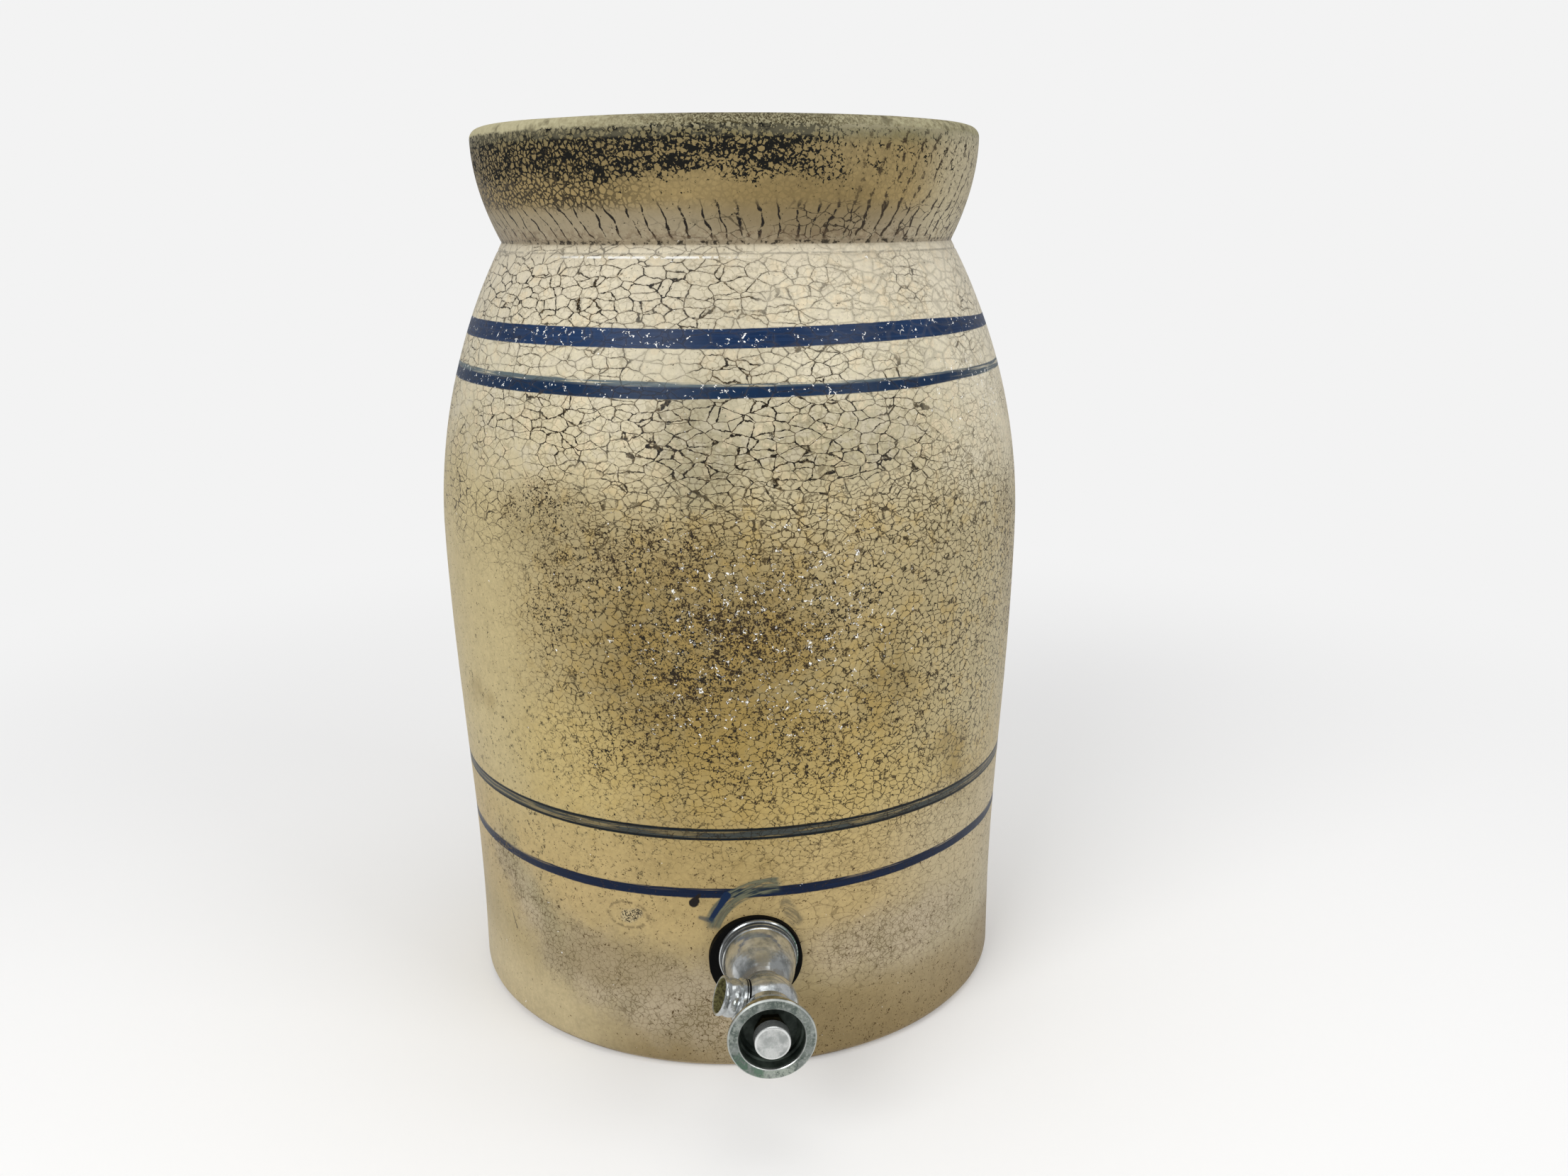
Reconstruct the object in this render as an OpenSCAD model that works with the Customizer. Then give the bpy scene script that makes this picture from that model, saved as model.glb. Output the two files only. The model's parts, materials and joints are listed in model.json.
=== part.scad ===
// Stoneware water crock with a push-button tap.
// Z is up, the origin is the centre of the base, and the tap faces -Y. Sizes are in millimetres.
// The tap's own lengths are measured outwards from the crock's outer wall, along the tap's axis.

/* [Crock] */
// Height from the base to the top of the lip
crock_h = 400; // [380:1:440]
// Outer radius of the lower wall
foot_r = 129.3; // [126:0.1:132]
// Outer radius at the widest point of the belly
belly_r = 136.5; // [134:0.1:140]
// Height of the widest point of the belly
belly_z = 222; // [210:1:230]
// Height up to which the lower wall stays upright
upright_h = 30; // [20:1:34]
// Radius of the arc that draws the shoulder in towards the neck
shoulder_arc_r = 268; // [255:1:290]
// Height of the groove between shoulder and collar
neck_z = 351.4; // [345:0.1:355]
// Outer radius of the collar at the lip
lip_r = 114.7; // [112:0.1:118]
// Radius of the rounding on the outside of the lip
lip_round = 4.8; // [3:0.1:6]
// Radius of the rounding on the inside of the lip
mouth_round = 3; // [2:0.1:4]
// Inner radius of the mouth at the top
mouth_r = 101; // [98:0.1:103]
// Thickness of the wall
wall_t = 11; // [9:0.1:12]
// Thickness of the floor
floor_t = 13; // [10:0.1:16]
// Radius of the rounded heel
heel_r = 5; // [3:0.1:7]

/* [Tap place] */
// Height of the tap's axis over the base
tap_z = 57.5; // [50:0.1:80]
// Radius of the hole through the wall
wall_hole_r = 12; // [11:0.1:13]

/* [Shank and washers] */
// Radius of the shank over its thread
shank_r = 10; // [9:0.1:10.5]
// Length of the shank behind the outer wall
shank_back = 31; // [29:0.5:40]
// Thickness of the outer rubber washer on the tap's axis
outer_washer_t = 3; // [2.5:0.1:4]
// Outer radius of the outer rubber washer
outer_washer_r = 20; // [18.5:0.1:21]
// How far the outer rubber washer has slipped to the left
washer_slip_left = 1; // [0:0.1:1.2]
// How far the outer rubber washer has slipped down
washer_slip_down = 2.5; // [0:0.1:2.5]
// Thickness of the inner rubber washer on the tap's axis
inner_washer_t = 4.5; // [4:0.1:6]
// Outer radius of the inner washers
inner_washer_r = 19; // [18.6:0.1:21]
// Thickness of the metal backing washer
backing_t = 2; // [1.5:0.1:2.5]
// Width of the lock nut across its flats
nut_flats = 32; // [28:0.5:32]
// Thickness of the lock nut
nut_t = 9; // [7:0.1:9]

/* [Tap body] */
// Radius of the widest ring of the flange
flange_r = 16.9; // [16.5:0.1:17.4]
// Where the bell begins, in front of the stepped rings
bell_start = 9; // [8.8:0.1:9.6]
// Where the bell ends in the neck
bell_end = 31; // [30.5:0.1:31.5]
// Radius of the bell at its wide end
bell_r = 15.4; // [15:0.1:15.5]
// Radius of the neck between bell and ball
neck_r = 8.9; // [8.7:0.1:9.2]
// Radius of the ball
ball_r = 12.9; // [12.5:0.1:13.2]
// Where the ball's centre lies
ball_s = 42.5; // [42:0.1:43]
// Where the ball's front boss ends
boss_end = 54; // [53.5:0.1:54]
// Radius of the water way through the shank
water_r = 5.6; // [5:0.1:5.8]

/* [Spout] */
// How far the spout is turned up from level, to the left
spout_rise = 20.5; // [0:0.5:40]
// How far the spout leans away from the crock
spout_lean = 6; // [0:0.5:10]
// Radius of the spout's collar
spout_collar_r = 8.45; // [8.3:0.05:8.5]
// Radius of the spout's rolled lip
spout_lip_r = 7.9; // [7.7:0.05:8]
// Radius of the spout's outlet
outlet_r = 6.7; // [6.65:0.05:6.9]
// Distance of the mouth from the tap's axis
mouth_d = 20.3; // [20:0.1:22]

/* [Guard and button] */
// Where the guard's front face lies
guard_front = 67; // [66.5:0.1:67.5]
// Outer radius of the guard's rim
guard_r = 17.3; // [16.8:0.1:18]
// Inner radius of the guard's rim
guard_inner_r = 13; // [12.8:0.1:13.4]
// Radius of the push button
button_r = 7.1; // [6.9:0.1:7.5]
// How far the button stands in front of the guard
button_proud = 2.5; // [2.2:0.1:2.6]
// Travel of the button
button_travel = 3.5; // [2.5:0.1:3.5]

/* [Valve] */
// Radius of the valve stem
stem_r = 2.5; // [2.3:0.05:2.6]
// Radial clearance of the stem in its guides
stem_gap = 0.05; // [0.02:0.01:0.1]
// Radius of the spring's coil, at the middle of its wire
spring_r = 4.75; // [4.5:0.05:4.9]
// Radius of the spring's wire
spring_wire_r = 0.4; // [0.3:0.05:0.4]
// Turns of the spring
spring_turns = 3; // [2:1:3]

/* [Hidden] */
$fn = 96;

// Clearance of parts that touch but turn or screw together
thread_gap = 0.02;
// Clearance of the shank in the rubber washers, which do not turn with it
turn_gap = 0.3;
// Clearance of the loose backing washer on the shank
washer_gap = 0.15;
// Extra length of a cutting shape past the face it cuts
past = 1;
// Depth by which a shape reaches into the curve of the wall, before it is cut to it
wall_reach = 3;

// Crock outline
wall_steps = 14;
wall_facets = 360;
collar_steps = 12;
arc_steps = 6;
inner_corner_r = 10;
collar_power = 1.9;
neck_outer_r = shoulder_r(neck_z);
lip_z = crock_h - lip_round;

// Places along the tap's axis
wall_face = lower_wall_r(tap_z);
flange_back = outer_washer_t;
inner_face = -wall_t - inner_washer_t;
backing_face = inner_face - backing_t;
nut_face = backing_face - nut_t;
nut_corner = 2.6;
nut_bevel = 1.5;
shank_bevel = 1;
seat_lip = 28.2;
seat_back = 29;
seat_front = 34.5;
seat_r = 6.8;
seat_bore_r = 4.4;
seat_lip_r = 5.3;
chamber_r = 8.2;
bell_chamber_r = 8;
bell_chamber_back = 6;
bell_chamber_front = 27.5;
boss_r = 10.8;
gasket_t = 1;
cup_back = boss_end + gasket_t;
cup_floor = cup_back + 3;
cup_wall_r = 14.8;
cup_back_r = 11.5;
rim_t = 1.9;
plug_back = 46.5;
packing_back = 51;
packing_r = 4.6;
packing_t = 2.4;
follower_t = 0.8;
gland_back = packing_back + packing_t + follower_t;
gland_head = 2.2;
gland_flats = 11;
gland_front = cup_floor + gland_head;
gland_tail = 0.5;
button_front = guard_front + button_proud;
button_clear = 0.6;
button_back = gland_front + button_travel + button_clear;
button_plate = 2.5;
button_skirt_r = 5.7;
button_boss_r = 3.3;
button_under = button_front - button_plate;
button_socket = button_front - 1;
button_boss = 3;
stem_shoulder = button_under - button_boss;
stem_end_r = 1.8;
stem_tail_r = 2;
holder_back = 24.6;
holder_r = 6.2;
disc_r = 5.6;
disc_back = 26;
holder_front = disc_back + 1.4;
disc_nut_flats = 7;
disc_nut_t = 2.8;
stem_tail = 20.5;

// Places along the spout's axis, from the ball's centre
spout_flat = sqrt(ball_r * ball_r - spout_collar_r * spout_collar_r);
spout_gasket_t = 0.6;
gasket_inset = 0.1;
spout_back = spout_flat + spout_gasket_t;
stub_r = 6.2;
stub_bore_r = 5;
stub_end = 12.6;
outlet_back = 13.5;
// Fine groove round the spout's collar
groove_back = spout_back + 0.7;
groove_front = spout_back + 1.1;
groove_depth = 0.3;
groove_slope = 0.1;
collar_front = 12.6;
collar_bevel = 0.4;
waist_back = 13.4;
waist_front = 17.6;
waist_r = 7.3;
waist_bulge = 0.4;
rim_round = (spout_lip_r - outlet_r) / 2;

// Points of a round stretch about a centre, from one angle to another
function arc(cx, cy, r, from, to) =
    [for (i = [0:arc_steps]) let (a = from + (to - from) * i / arc_steps) [cx + r * cos(a), cy + r * sin(a)]];

// Even steps between two heights, without the ends
function steps(a, b, n) = [for (i = [1:n - 1]) a + (b - a) * i / n];

function ease(u) = u * u * (3 - 2 * u);
function lower_wall_r(z) = foot_r + (belly_r - foot_r) * ease(max(0, z - upright_h) / (belly_z - upright_h));
function shoulder_r(z) = belly_r - shoulder_arc_r + sqrt(pow(shoulder_arc_r, 2) - pow(z - belly_z, 2));
function collar_r(z) = lip_r - (lip_r - neck_outer_r) * pow((lip_z - z) / (lip_z - neck_z), collar_power);

// Outside of the crock, from the base's centre up to the lip
function outside() = concat(
    [[0, 0]],
    arc(foot_r - heel_r, heel_r, heel_r, -90, 0),
    [[foot_r, upright_h]],
    [for (z = steps(upright_h, belly_z, wall_steps)) [lower_wall_r(z), z]],
    [for (z = steps(belly_z, neck_z, wall_steps)) [shoulder_r(z), z]],
    [[neck_outer_r, neck_z]],
    [for (z = steps(neck_z, lip_z, collar_steps)) [collar_r(z), z]],
    arc(lip_r - lip_round, lip_z, lip_round, 0, 90));

// Inside of the crock, from the mouth down to the floor's centre
function inside() = concat(
    arc(mouth_r + mouth_round, crock_h - mouth_round, mouth_round, 90, 180),
    [[neck_outer_r - wall_t, neck_z]],
    [for (z = steps(neck_z, belly_z, wall_steps)) [shoulder_r(z) - wall_t, z]],
    [for (z = steps(belly_z, upright_h, wall_steps)) [lower_wall_r(z) - wall_t, z]],
    [[foot_r - wall_t, upright_h]],
    arc(foot_r - wall_t - inner_corner_r, floor_t + inner_corner_r, inner_corner_r, 0, -90),
    [[0, floor_t]]);

// Puts the tap's own axis, +Z in its own frame, along -Y from the outer wall
module at_tap() {
    translate([0, -wall_face, tap_z]) rotate([90, 0, 0]) children();
}

// Puts the spout's own axis, +Z in its own frame, at the ball's centre
module at_spout() {
    translate([0, 0, ball_s]) rotate([0, 0, -spout_rise]) rotate([0, spout_lean - 90, 0]) children();
}

module tube(from, to, outer, inner) {
    difference() {
        translate([0, 0, from]) cylinder(r = outer, h = to - from);
        translate([0, 0, from - past]) cylinder(r = inner, h = to - from + 2 * past);
    }
}

module rod(from, to, r) {
    translate([0, 0, from]) cylinder(r = r, h = to - from);
}

module hex(from, to, flats) {
    translate([0, 0, from]) cylinder(d = flats / cos(30), h = to - from, $fn = 6);
}

module crock() {
    color([0.80, 0.70, 0.51]) difference() {
        rotate_extrude($fn = wall_facets) polygon(concat(outside(), inside()));
        at_tap() rod(-wall_t - wall_reach, wall_reach, wall_hole_r);
    }
}

// The rubber is squeezed to the curve of the wall, so its back follows the outside of the crock
module outer_rubber_washer() {
    hole_r = shank_r + norm([washer_slip_left, washer_slip_down]) + turn_gap;
    color([0.04, 0.04, 0.04]) difference() {
        at_tap() translate([-washer_slip_left, -washer_slip_down, 0])
            tube(-wall_reach, outer_washer_t, outer_washer_r, hole_r);
        rotate_extrude($fn = wall_facets) polygon(concat(outside(), [[0, crock_h]]));
    }
}

module inner_rubber_washer() {
    color([0.05, 0.05, 0.05]) intersection() {
        at_tap() tube(inner_face, wall_reach - wall_t, inner_washer_r, shank_r + turn_gap);
        rotate_extrude($fn = wall_facets) polygon(concat(inside(), [[0, crock_h]]));
    }
}

module backing_washer() {
    color([0.72, 0.72, 0.70]) at_tap() tube(backing_face, inner_face, inner_washer_r, shank_r + washer_gap);
}

module lock_nut() {
    color([0.76, 0.64, 0.36]) at_tap() difference() {
        intersection() {
            hex(nut_face, backing_face, nut_flats);
            rotate_extrude() polygon([
                [0, nut_face],
                [nut_flats / 2, nut_face],
                [nut_flats / 2 + nut_corner, nut_face + nut_bevel],
                [nut_flats / 2 + nut_corner, backing_face],
                [0, backing_face]]);
        }
        rod(nut_face - past, backing_face + past, shank_r + thread_gap);
    }
}

// Radius of the bell, from 0 at its wide end to 1 at the neck
function bell_outline_r(u) = bell_r - (bell_r - neck_r) * pow(u, 1.6);

// Shank, stepped flange, bell and neck, as radius against distance along the tap's axis
function bell_outline() = concat(
    [[0, -shank_back], [shank_r - shank_bevel, -shank_back]],
    [[shank_r, shank_bevel - shank_back], [shank_r, flange_back]],
    [[flange_r - 0.5, flange_back], [flange_r, flange_back + 0.5]],
    [[flange_r, flange_back + 1.7], [flange_r - 0.5, flange_back + 2.2]],
    [[flange_r - 1.2, flange_back + 2.4], [flange_r - 1.2, flange_back + 2.8]],
    [[flange_r - 0.7, flange_back + 3.1], [flange_r - 0.7, flange_back + 3.9]],
    [[flange_r - 1.6, flange_back + 4.3], [flange_r - 1.6, flange_back + 4.7]],
    [[flange_r - 1.2, flange_back + 4.9], [flange_r - 1.2, flange_back + 5.5]],
    [for (i = [0:collar_steps]) [bell_outline_r(i / collar_steps), bell_start + (bell_end - bell_start) * i / collar_steps]],
    [[neck_r, ball_s], [0, ball_s]]);

module tap_body() {
    color([0.78, 0.78, 0.77]) at_tap() difference() {
        union() {
            rotate_extrude() polygon(bell_outline());
            difference() {
                union() {
                    translate([0, 0, ball_s]) sphere(r = ball_r);
                    rod(ball_s, boss_end, boss_r);
                }
                at_spout() rod(spout_flat, 2 * ball_r, spout_collar_r + turn_gap);
            }
            at_spout() rod(0, stub_end, stub_r);
        }
        rod(-shank_back - past, bell_chamber_back + past, water_r);
        rod(bell_chamber_back, bell_chamber_front, bell_chamber_r);
        rod(bell_chamber_front - past, seat_front + past, seat_r);
        rod(seat_front, ball_s + ball_r + past, chamber_r);
        at_spout() rod(0, stub_end + past, stub_bore_r);
    }
}

// The raised lip of this insert is what the valve disc closes on
module valve_seat() {
    color([0.80, 0.66, 0.34]) at_tap() difference() {
        union() {
            rod(seat_back, seat_front, seat_r - thread_gap);
            rod(seat_lip, seat_back + past, seat_lip_r);
        }
        rod(seat_lip - past, seat_front + past, seat_bore_r);
    }
}

module spout_gasket() {
    color([0.05, 0.05, 0.05]) at_tap() at_spout()
        tube(spout_flat, spout_back, spout_collar_r - gasket_inset, stub_r + thread_gap);
}

// Collar, waist and rolled lip, as radius against distance along the spout's axis
function spout_outline() = concat(
    [[stub_r + thread_gap, spout_back]],
    [[spout_collar_r - groove_depth, spout_back], [spout_collar_r, spout_back + groove_depth]],
    [[spout_collar_r, groove_back], [spout_collar_r - groove_depth, groove_back + groove_slope]],
    [[spout_collar_r - groove_depth, groove_front - groove_slope], [spout_collar_r, groove_front]],
    [[spout_collar_r, collar_front], [spout_collar_r - collar_bevel, collar_front + collar_bevel]],
    [[waist_r, waist_back - groove_slope]],
    [for (i = [0:arc_steps]) let (u = i / arc_steps)
        [waist_r + waist_bulge * sin(180 * u), waist_back + (waist_front - waist_back) * u]],
    [for (i = [1:arc_steps]) let (u = i / arc_steps)
        [waist_r + (spout_lip_r - waist_r) * sin(90 * u), waist_front + (mouth_d - rim_round - waist_front) * u]],
    arc(outlet_r + rim_round, mouth_d - rim_round, rim_round, 0, 180),
    [[outlet_r, outlet_back], [stub_r + thread_gap, outlet_back]]);

module spout() {
    color([0.76, 0.76, 0.75]) at_tap() at_spout() rotate_extrude() polygon(spout_outline());
}

module bonnet_gasket() {
    color([0.05, 0.05, 0.05]) at_tap() tube(boss_end, cup_back, boss_r - gasket_inset, chamber_r);
}

// Threaded plug, cup and flared rim, as radius against distance along the tap's axis
function cup_outline() = [
    [stem_r + stem_gap, plug_back],
    [chamber_r - thread_gap - 0.6, plug_back],
    [chamber_r - thread_gap, plug_back + 0.6],
    [chamber_r - thread_gap, cup_back],
    [cup_back_r, cup_back],
    [cup_back_r + 1.6, cup_back + 1],
    [cup_wall_r, cup_back + 5],
    [cup_wall_r, guard_front - rim_t - 0.8],
    [guard_r - 0.4, guard_front - rim_t],
    [guard_r, guard_front - rim_t + 0.4],
    [guard_r, guard_front - 0.7],
    [guard_r - 0.6, guard_front],
    [guard_inner_r + 0.3, guard_front],
    [guard_inner_r, guard_front - 0.3],
    [guard_inner_r - 0.3, cup_floor + 4],
    [guard_inner_r - 1, cup_floor + 3.4],
    [guard_inner_r - 1.2, cup_floor + 1.2],
    [guard_inner_r - 2.4, cup_floor],
    [packing_r, cup_floor],
    [packing_r, packing_back],
    [stem_r + stem_gap, packing_back]];

module guard_cup() {
    color([0.70, 0.72, 0.70]) at_tap() rotate_extrude() polygon(cup_outline());
}

module stem_packing() {
    color([0.15, 0.15, 0.14]) at_tap()
        tube(packing_back, packing_back + packing_t, packing_r - thread_gap, stem_r + thread_gap);
}

module packing_follower() {
    color([0.80, 0.66, 0.34]) at_tap()
        tube(packing_back + packing_t, gland_back, packing_r - thread_gap, stem_r + stem_gap);
}

module gland_nut() {
    color([0.80, 0.66, 0.34]) at_tap() difference() {
        union() {
            rod(gland_back, cup_floor + gland_tail, packing_r - thread_gap);
            hex(cup_floor, gland_front, gland_flats);
        }
        rod(gland_back - past, gland_front + past, stem_r + stem_gap);
    }
}

// Helix of the return spring, swept as one unbroken tube
spring_rings = 8;
spring_sides = 6;
spring_from = gland_front + spring_wire_r;
spring_to = button_under - spring_wire_r;
spring_pitch = (spring_to - spring_from) / spring_turns;
spring_last = spring_turns * spring_rings;
function spring_point(i, j) =
    let (turn = 360 * i / spring_rings, side = 360 * j / spring_sides, r = spring_r + spring_wire_r * cos(side))
    [r * cos(turn), r * sin(turn), spring_from + spring_pitch * i / spring_rings + spring_wire_r * sin(side)];
echo(spring_least_gap = spring_pitch - 2 * spring_wire_r);

module return_spring() {
    points = [for (i = [0:spring_last]) for (j = [0:spring_sides - 1]) spring_point(i, j)];
    walls = [for (i = [0:spring_last - 1]) for (j = [0:spring_sides - 1])
        let (a = i * spring_sides + j, b = i * spring_sides + (j + 1) % spring_sides)
        each [[a, b + spring_sides, b], [a, a + spring_sides, b + spring_sides]]];
    first_end = [for (j = [1:spring_sides - 2]) [0, j, j + 1]];
    last_ring = spring_last * spring_sides;
    last_end = [for (j = [1:spring_sides - 2]) [last_ring, last_ring + j + 1, last_ring + j]];
    color([0.62, 0.62, 0.62]) at_tap()
        polyhedron(points = points, faces = concat(walls, first_end, last_end));
}

// Hollow button with a boss that screws onto the stem
function button_outline() = [
    [stem_end_r, stem_shoulder],
    [button_boss_r, stem_shoulder],
    [button_boss_r, button_under],
    [button_skirt_r, button_under],
    [button_skirt_r, button_back],
    [button_r - 0.2, button_back],
    [button_r, button_back + 0.2],
    [button_r, button_front - 0.6],
    [button_r - 0.2, button_front - 0.2],
    [button_r - 0.6, button_front],
    [0, button_front],
    [0, button_socket],
    [stem_end_r, button_socket]];

module push_button() {
    color([0.80, 0.80, 0.79]) at_tap() rotate_extrude() polygon(button_outline());
}

module valve_stem() {
    color([0.80, 0.66, 0.34]) at_tap() {
        rod(stem_tail, seat_lip, stem_tail_r);
        rod(seat_lip, stem_shoulder, stem_r);
        rod(stem_shoulder, button_socket, stem_end_r - thread_gap);
    }
}

module disc_holder() {
    color([0.80, 0.66, 0.34]) at_tap() difference() {
        rod(holder_back, holder_front, holder_r);
        rod(disc_back, seat_lip, disc_r + thread_gap);
        rod(holder_back - past, seat_lip, stem_tail_r + thread_gap);
    }
}

module valve_disc() {
    color([0.08, 0.08, 0.08]) at_tap() tube(disc_back, seat_lip, disc_r, stem_tail_r + thread_gap);
}

module disc_nut() {
    color([0.80, 0.66, 0.34]) at_tap() difference() {
        hex(holder_back - disc_nut_t, holder_back, disc_nut_flats);
        rod(holder_back - disc_nut_t - past, holder_back + past, stem_tail_r + thread_gap);
    }
}

crock();
outer_rubber_washer();
inner_rubber_washer();
backing_washer();
lock_nut();
tap_body();
valve_seat();
spout_gasket();
spout();
bonnet_gasket();
guard_cup();
stem_packing();
packing_follower();
gland_nut();
return_spring();
push_button();
valve_stem();
disc_holder();
valve_disc();
disc_nut();
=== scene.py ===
"""Looks of a glazed stoneware water crock with a push-button tap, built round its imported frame."""
import json
import math

import bpy
from mathutils import Matrix, Vector

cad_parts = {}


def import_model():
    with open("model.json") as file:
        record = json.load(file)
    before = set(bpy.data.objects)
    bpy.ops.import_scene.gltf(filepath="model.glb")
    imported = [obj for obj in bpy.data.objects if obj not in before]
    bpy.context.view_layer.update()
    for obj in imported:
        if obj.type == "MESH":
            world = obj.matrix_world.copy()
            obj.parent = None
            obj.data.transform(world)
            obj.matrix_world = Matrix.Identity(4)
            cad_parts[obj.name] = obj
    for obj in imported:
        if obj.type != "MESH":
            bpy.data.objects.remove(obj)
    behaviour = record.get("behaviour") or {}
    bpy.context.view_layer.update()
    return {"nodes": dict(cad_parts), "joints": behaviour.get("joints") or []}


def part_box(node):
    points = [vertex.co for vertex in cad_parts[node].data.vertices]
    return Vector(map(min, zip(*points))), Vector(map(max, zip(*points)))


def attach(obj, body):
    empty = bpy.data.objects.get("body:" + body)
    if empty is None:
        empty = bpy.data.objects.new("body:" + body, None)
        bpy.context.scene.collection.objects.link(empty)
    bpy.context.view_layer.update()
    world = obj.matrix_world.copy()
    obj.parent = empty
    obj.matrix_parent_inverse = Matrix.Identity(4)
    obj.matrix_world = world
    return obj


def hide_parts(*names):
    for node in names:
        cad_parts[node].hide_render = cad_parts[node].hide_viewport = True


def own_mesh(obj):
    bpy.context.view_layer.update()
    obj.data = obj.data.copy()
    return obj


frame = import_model()

MM = 0.001

# ---------------- sizes, in millimetres
CROCK_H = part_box("crock")[1].z / MM
FOOT_R = 129.3
BELLY_R = 136.5
BELLY_Z = 222
UPRIGHT_H = 30
SHOULDER_ARC_R = 268
NECK_Z = 351.4
LIP_R = 114.7
LIP_ROUND = 4.8
MOUTH_ROUND = 3
MOUTH_R = 101
WALL_T = 11
FLOOR_T = 13
HEEL_R = 5
CORNER_R = 10
COLLAR_POWER = 1.9
SCORE_Z = 347.8
SCORE_HALF = 0.7
SCORE_DEPTH = 0.3
HOLE_R = 12
CROCK_FACETS = 320
THROWN_WAVES = 0.35
BALL = Vector((0, -172.2, 57.5))
SPOUT_AXIS = Vector((-0.93154, -0.10453, 0.34829))
BUTTON_RIM_R = 6.6
SPRING_R = 4.75
SPRING_WIRE_R = 0.4
SPRING_TURNS = 3
SPRING_STEPS = 32

JOINTS = {joint["name"]: joint for joint in frame["joints"]}
TAP_PLACE = Vector(JOINTS["tap_turn"]["pos_m"])
WALL_FACE = -TAP_PLACE.y / MM
TAP_Z = TAP_PLACE.z / MM
PRESS = JOINTS["button_press"]["range_m"][1] / MM

# The camera's place and aim, solved from the photograph's outline and bands
CAMERA_PLACE = (-40.7 * MM, -661.1 * MM, 360.3 * MM)
CAMERA_HEADING = math.radians(5.7)
CAMERA_PITCH = math.radians(14.9)
CAMERA_ROLL = -0.0067
CAMERA_LENS = 31.74
SENSOR = 36

# Brightness of the backdrop, the even light, the floor and the cards, as linear light
BACKDROP = 0.896
AMBIENT = 0.42
FLOOR_GREY = 0.86
FLOOR_LIFT = 0.14
FLOOR_R = 6
FLOOR_FADE = (260, 900)
CARD_BLACK = 0.03

# Lamps and dark cards: name, place, (width, height) in metres, and a lamp's power in watts
LAMP_AIM = (0, 0, 0.2)
LAMPS = [
    ("key_lamp", (-1.1, -1.4, 1.3), (1.2, 1.2), 20),
    ("fill_lamp", (1.3, -1.1, 0.9), (1.0, 1.4), 10),
    ("top_lamp", (0.1, 0.1, 1.9), (1.4, 1.4), 8),
]
CARD_AIM = (0, -0.17, 0.06)
DARK_CARDS = [
    ("dark_card_low", (0.1, -1.1, -0.15), (1.6, 0.30)),
    ("dark_card_right", (1.0, -0.5, 0.25), (0.35, 1.2)),
    ("dark_card_left", (-1.0, -0.45, 0.3), (0.3, 1.2)),
]


# ---------------- mesh tools
def deselect_all():
    if bpy.context.object and bpy.context.object.mode != "OBJECT":
        bpy.ops.object.mode_set(mode="OBJECT")
    bpy.ops.object.select_all(action="DESELECT")


def make_active(piece):
    deselect_all()
    piece.select_set(True)
    bpy.context.view_layer.objects.active = piece


def named(name):
    piece = bpy.context.object
    piece.name = name
    piece.data.name = name
    return piece


def turned(name, outline, facets):
    """Turns an outline of (radius, height) points, in millimetres, about Z, as on a wheel."""
    deselect_all()
    bpy.ops.mesh.primitive_plane_add(size=MM)
    piece = named(name)
    bpy.ops.object.mode_set(mode="EDIT")
    bpy.ops.mesh.merge(type="CENTER")
    bpy.ops.transform.translate(value=(outline[0][0] * MM, 0, outline[0][1] * MM))
    for before, after in zip(outline, outline[1:]):
        step = ((after[0] - before[0]) * MM, 0, (after[1] - before[1]) * MM)
        bpy.ops.mesh.extrude_vertices_move(TRANSFORM_OT_translate={"value": step})
    bpy.ops.mesh.select_all(action="SELECT")
    bpy.ops.mesh.spin(steps=facets, angle=2 * math.pi, center=(0, 0, 0), axis=(0, 0, 1))
    bpy.ops.mesh.select_all(action="SELECT")
    bpy.ops.mesh.remove_doubles(threshold=0.01 * MM)
    bpy.ops.mesh.normals_make_consistent(inside=False)
    bpy.ops.object.mode_set(mode="OBJECT")
    return piece


def placed(piece, matrix):
    """Puts a piece where it belongs, with its place in its mesh."""
    make_active(piece)
    piece.matrix_world = matrix
    bpy.ops.object.transform_apply(location=True, rotation=True, scale=True)
    return piece


def modified(piece, kind, **settings):
    """Adds a modifier and applies it."""
    make_active(piece)
    modifier = piece.modifiers.new(kind.lower(), kind)
    for name, value in settings.items():
        setattr(modifier, name, value)
    bpy.ops.object.modifier_apply(modifier=modifier.name)
    return piece


def smoothed(piece, degrees=35):
    make_active(piece)
    bpy.ops.object.shade_smooth_by_angle(angle=math.radians(degrees))
    return piece


def arc_points(x, z, radius, start, end, steps):
    angles = [math.radians(start + (end - start) * i / steps) for i in range(steps + 1)]
    return [(x + radius * math.cos(a), z + radius * math.sin(a)) for a in angles]


def between(a, b, steps):
    """Even steps between two heights, without the ends."""
    return [a + (b - a) * i / steps for i in range(1, steps)]


# ---------------- shader tools
def srgb(red, green, blue):
    """A colour as seen on a screen, 0 to 255, as linear light."""
    def linear(c):
        c = c / 255
        return c / 12.92 if c <= 0.04045 else ((c + 0.055) / 1.055) ** 2.4
    return (linear(red), linear(green), linear(blue), 1)


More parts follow.
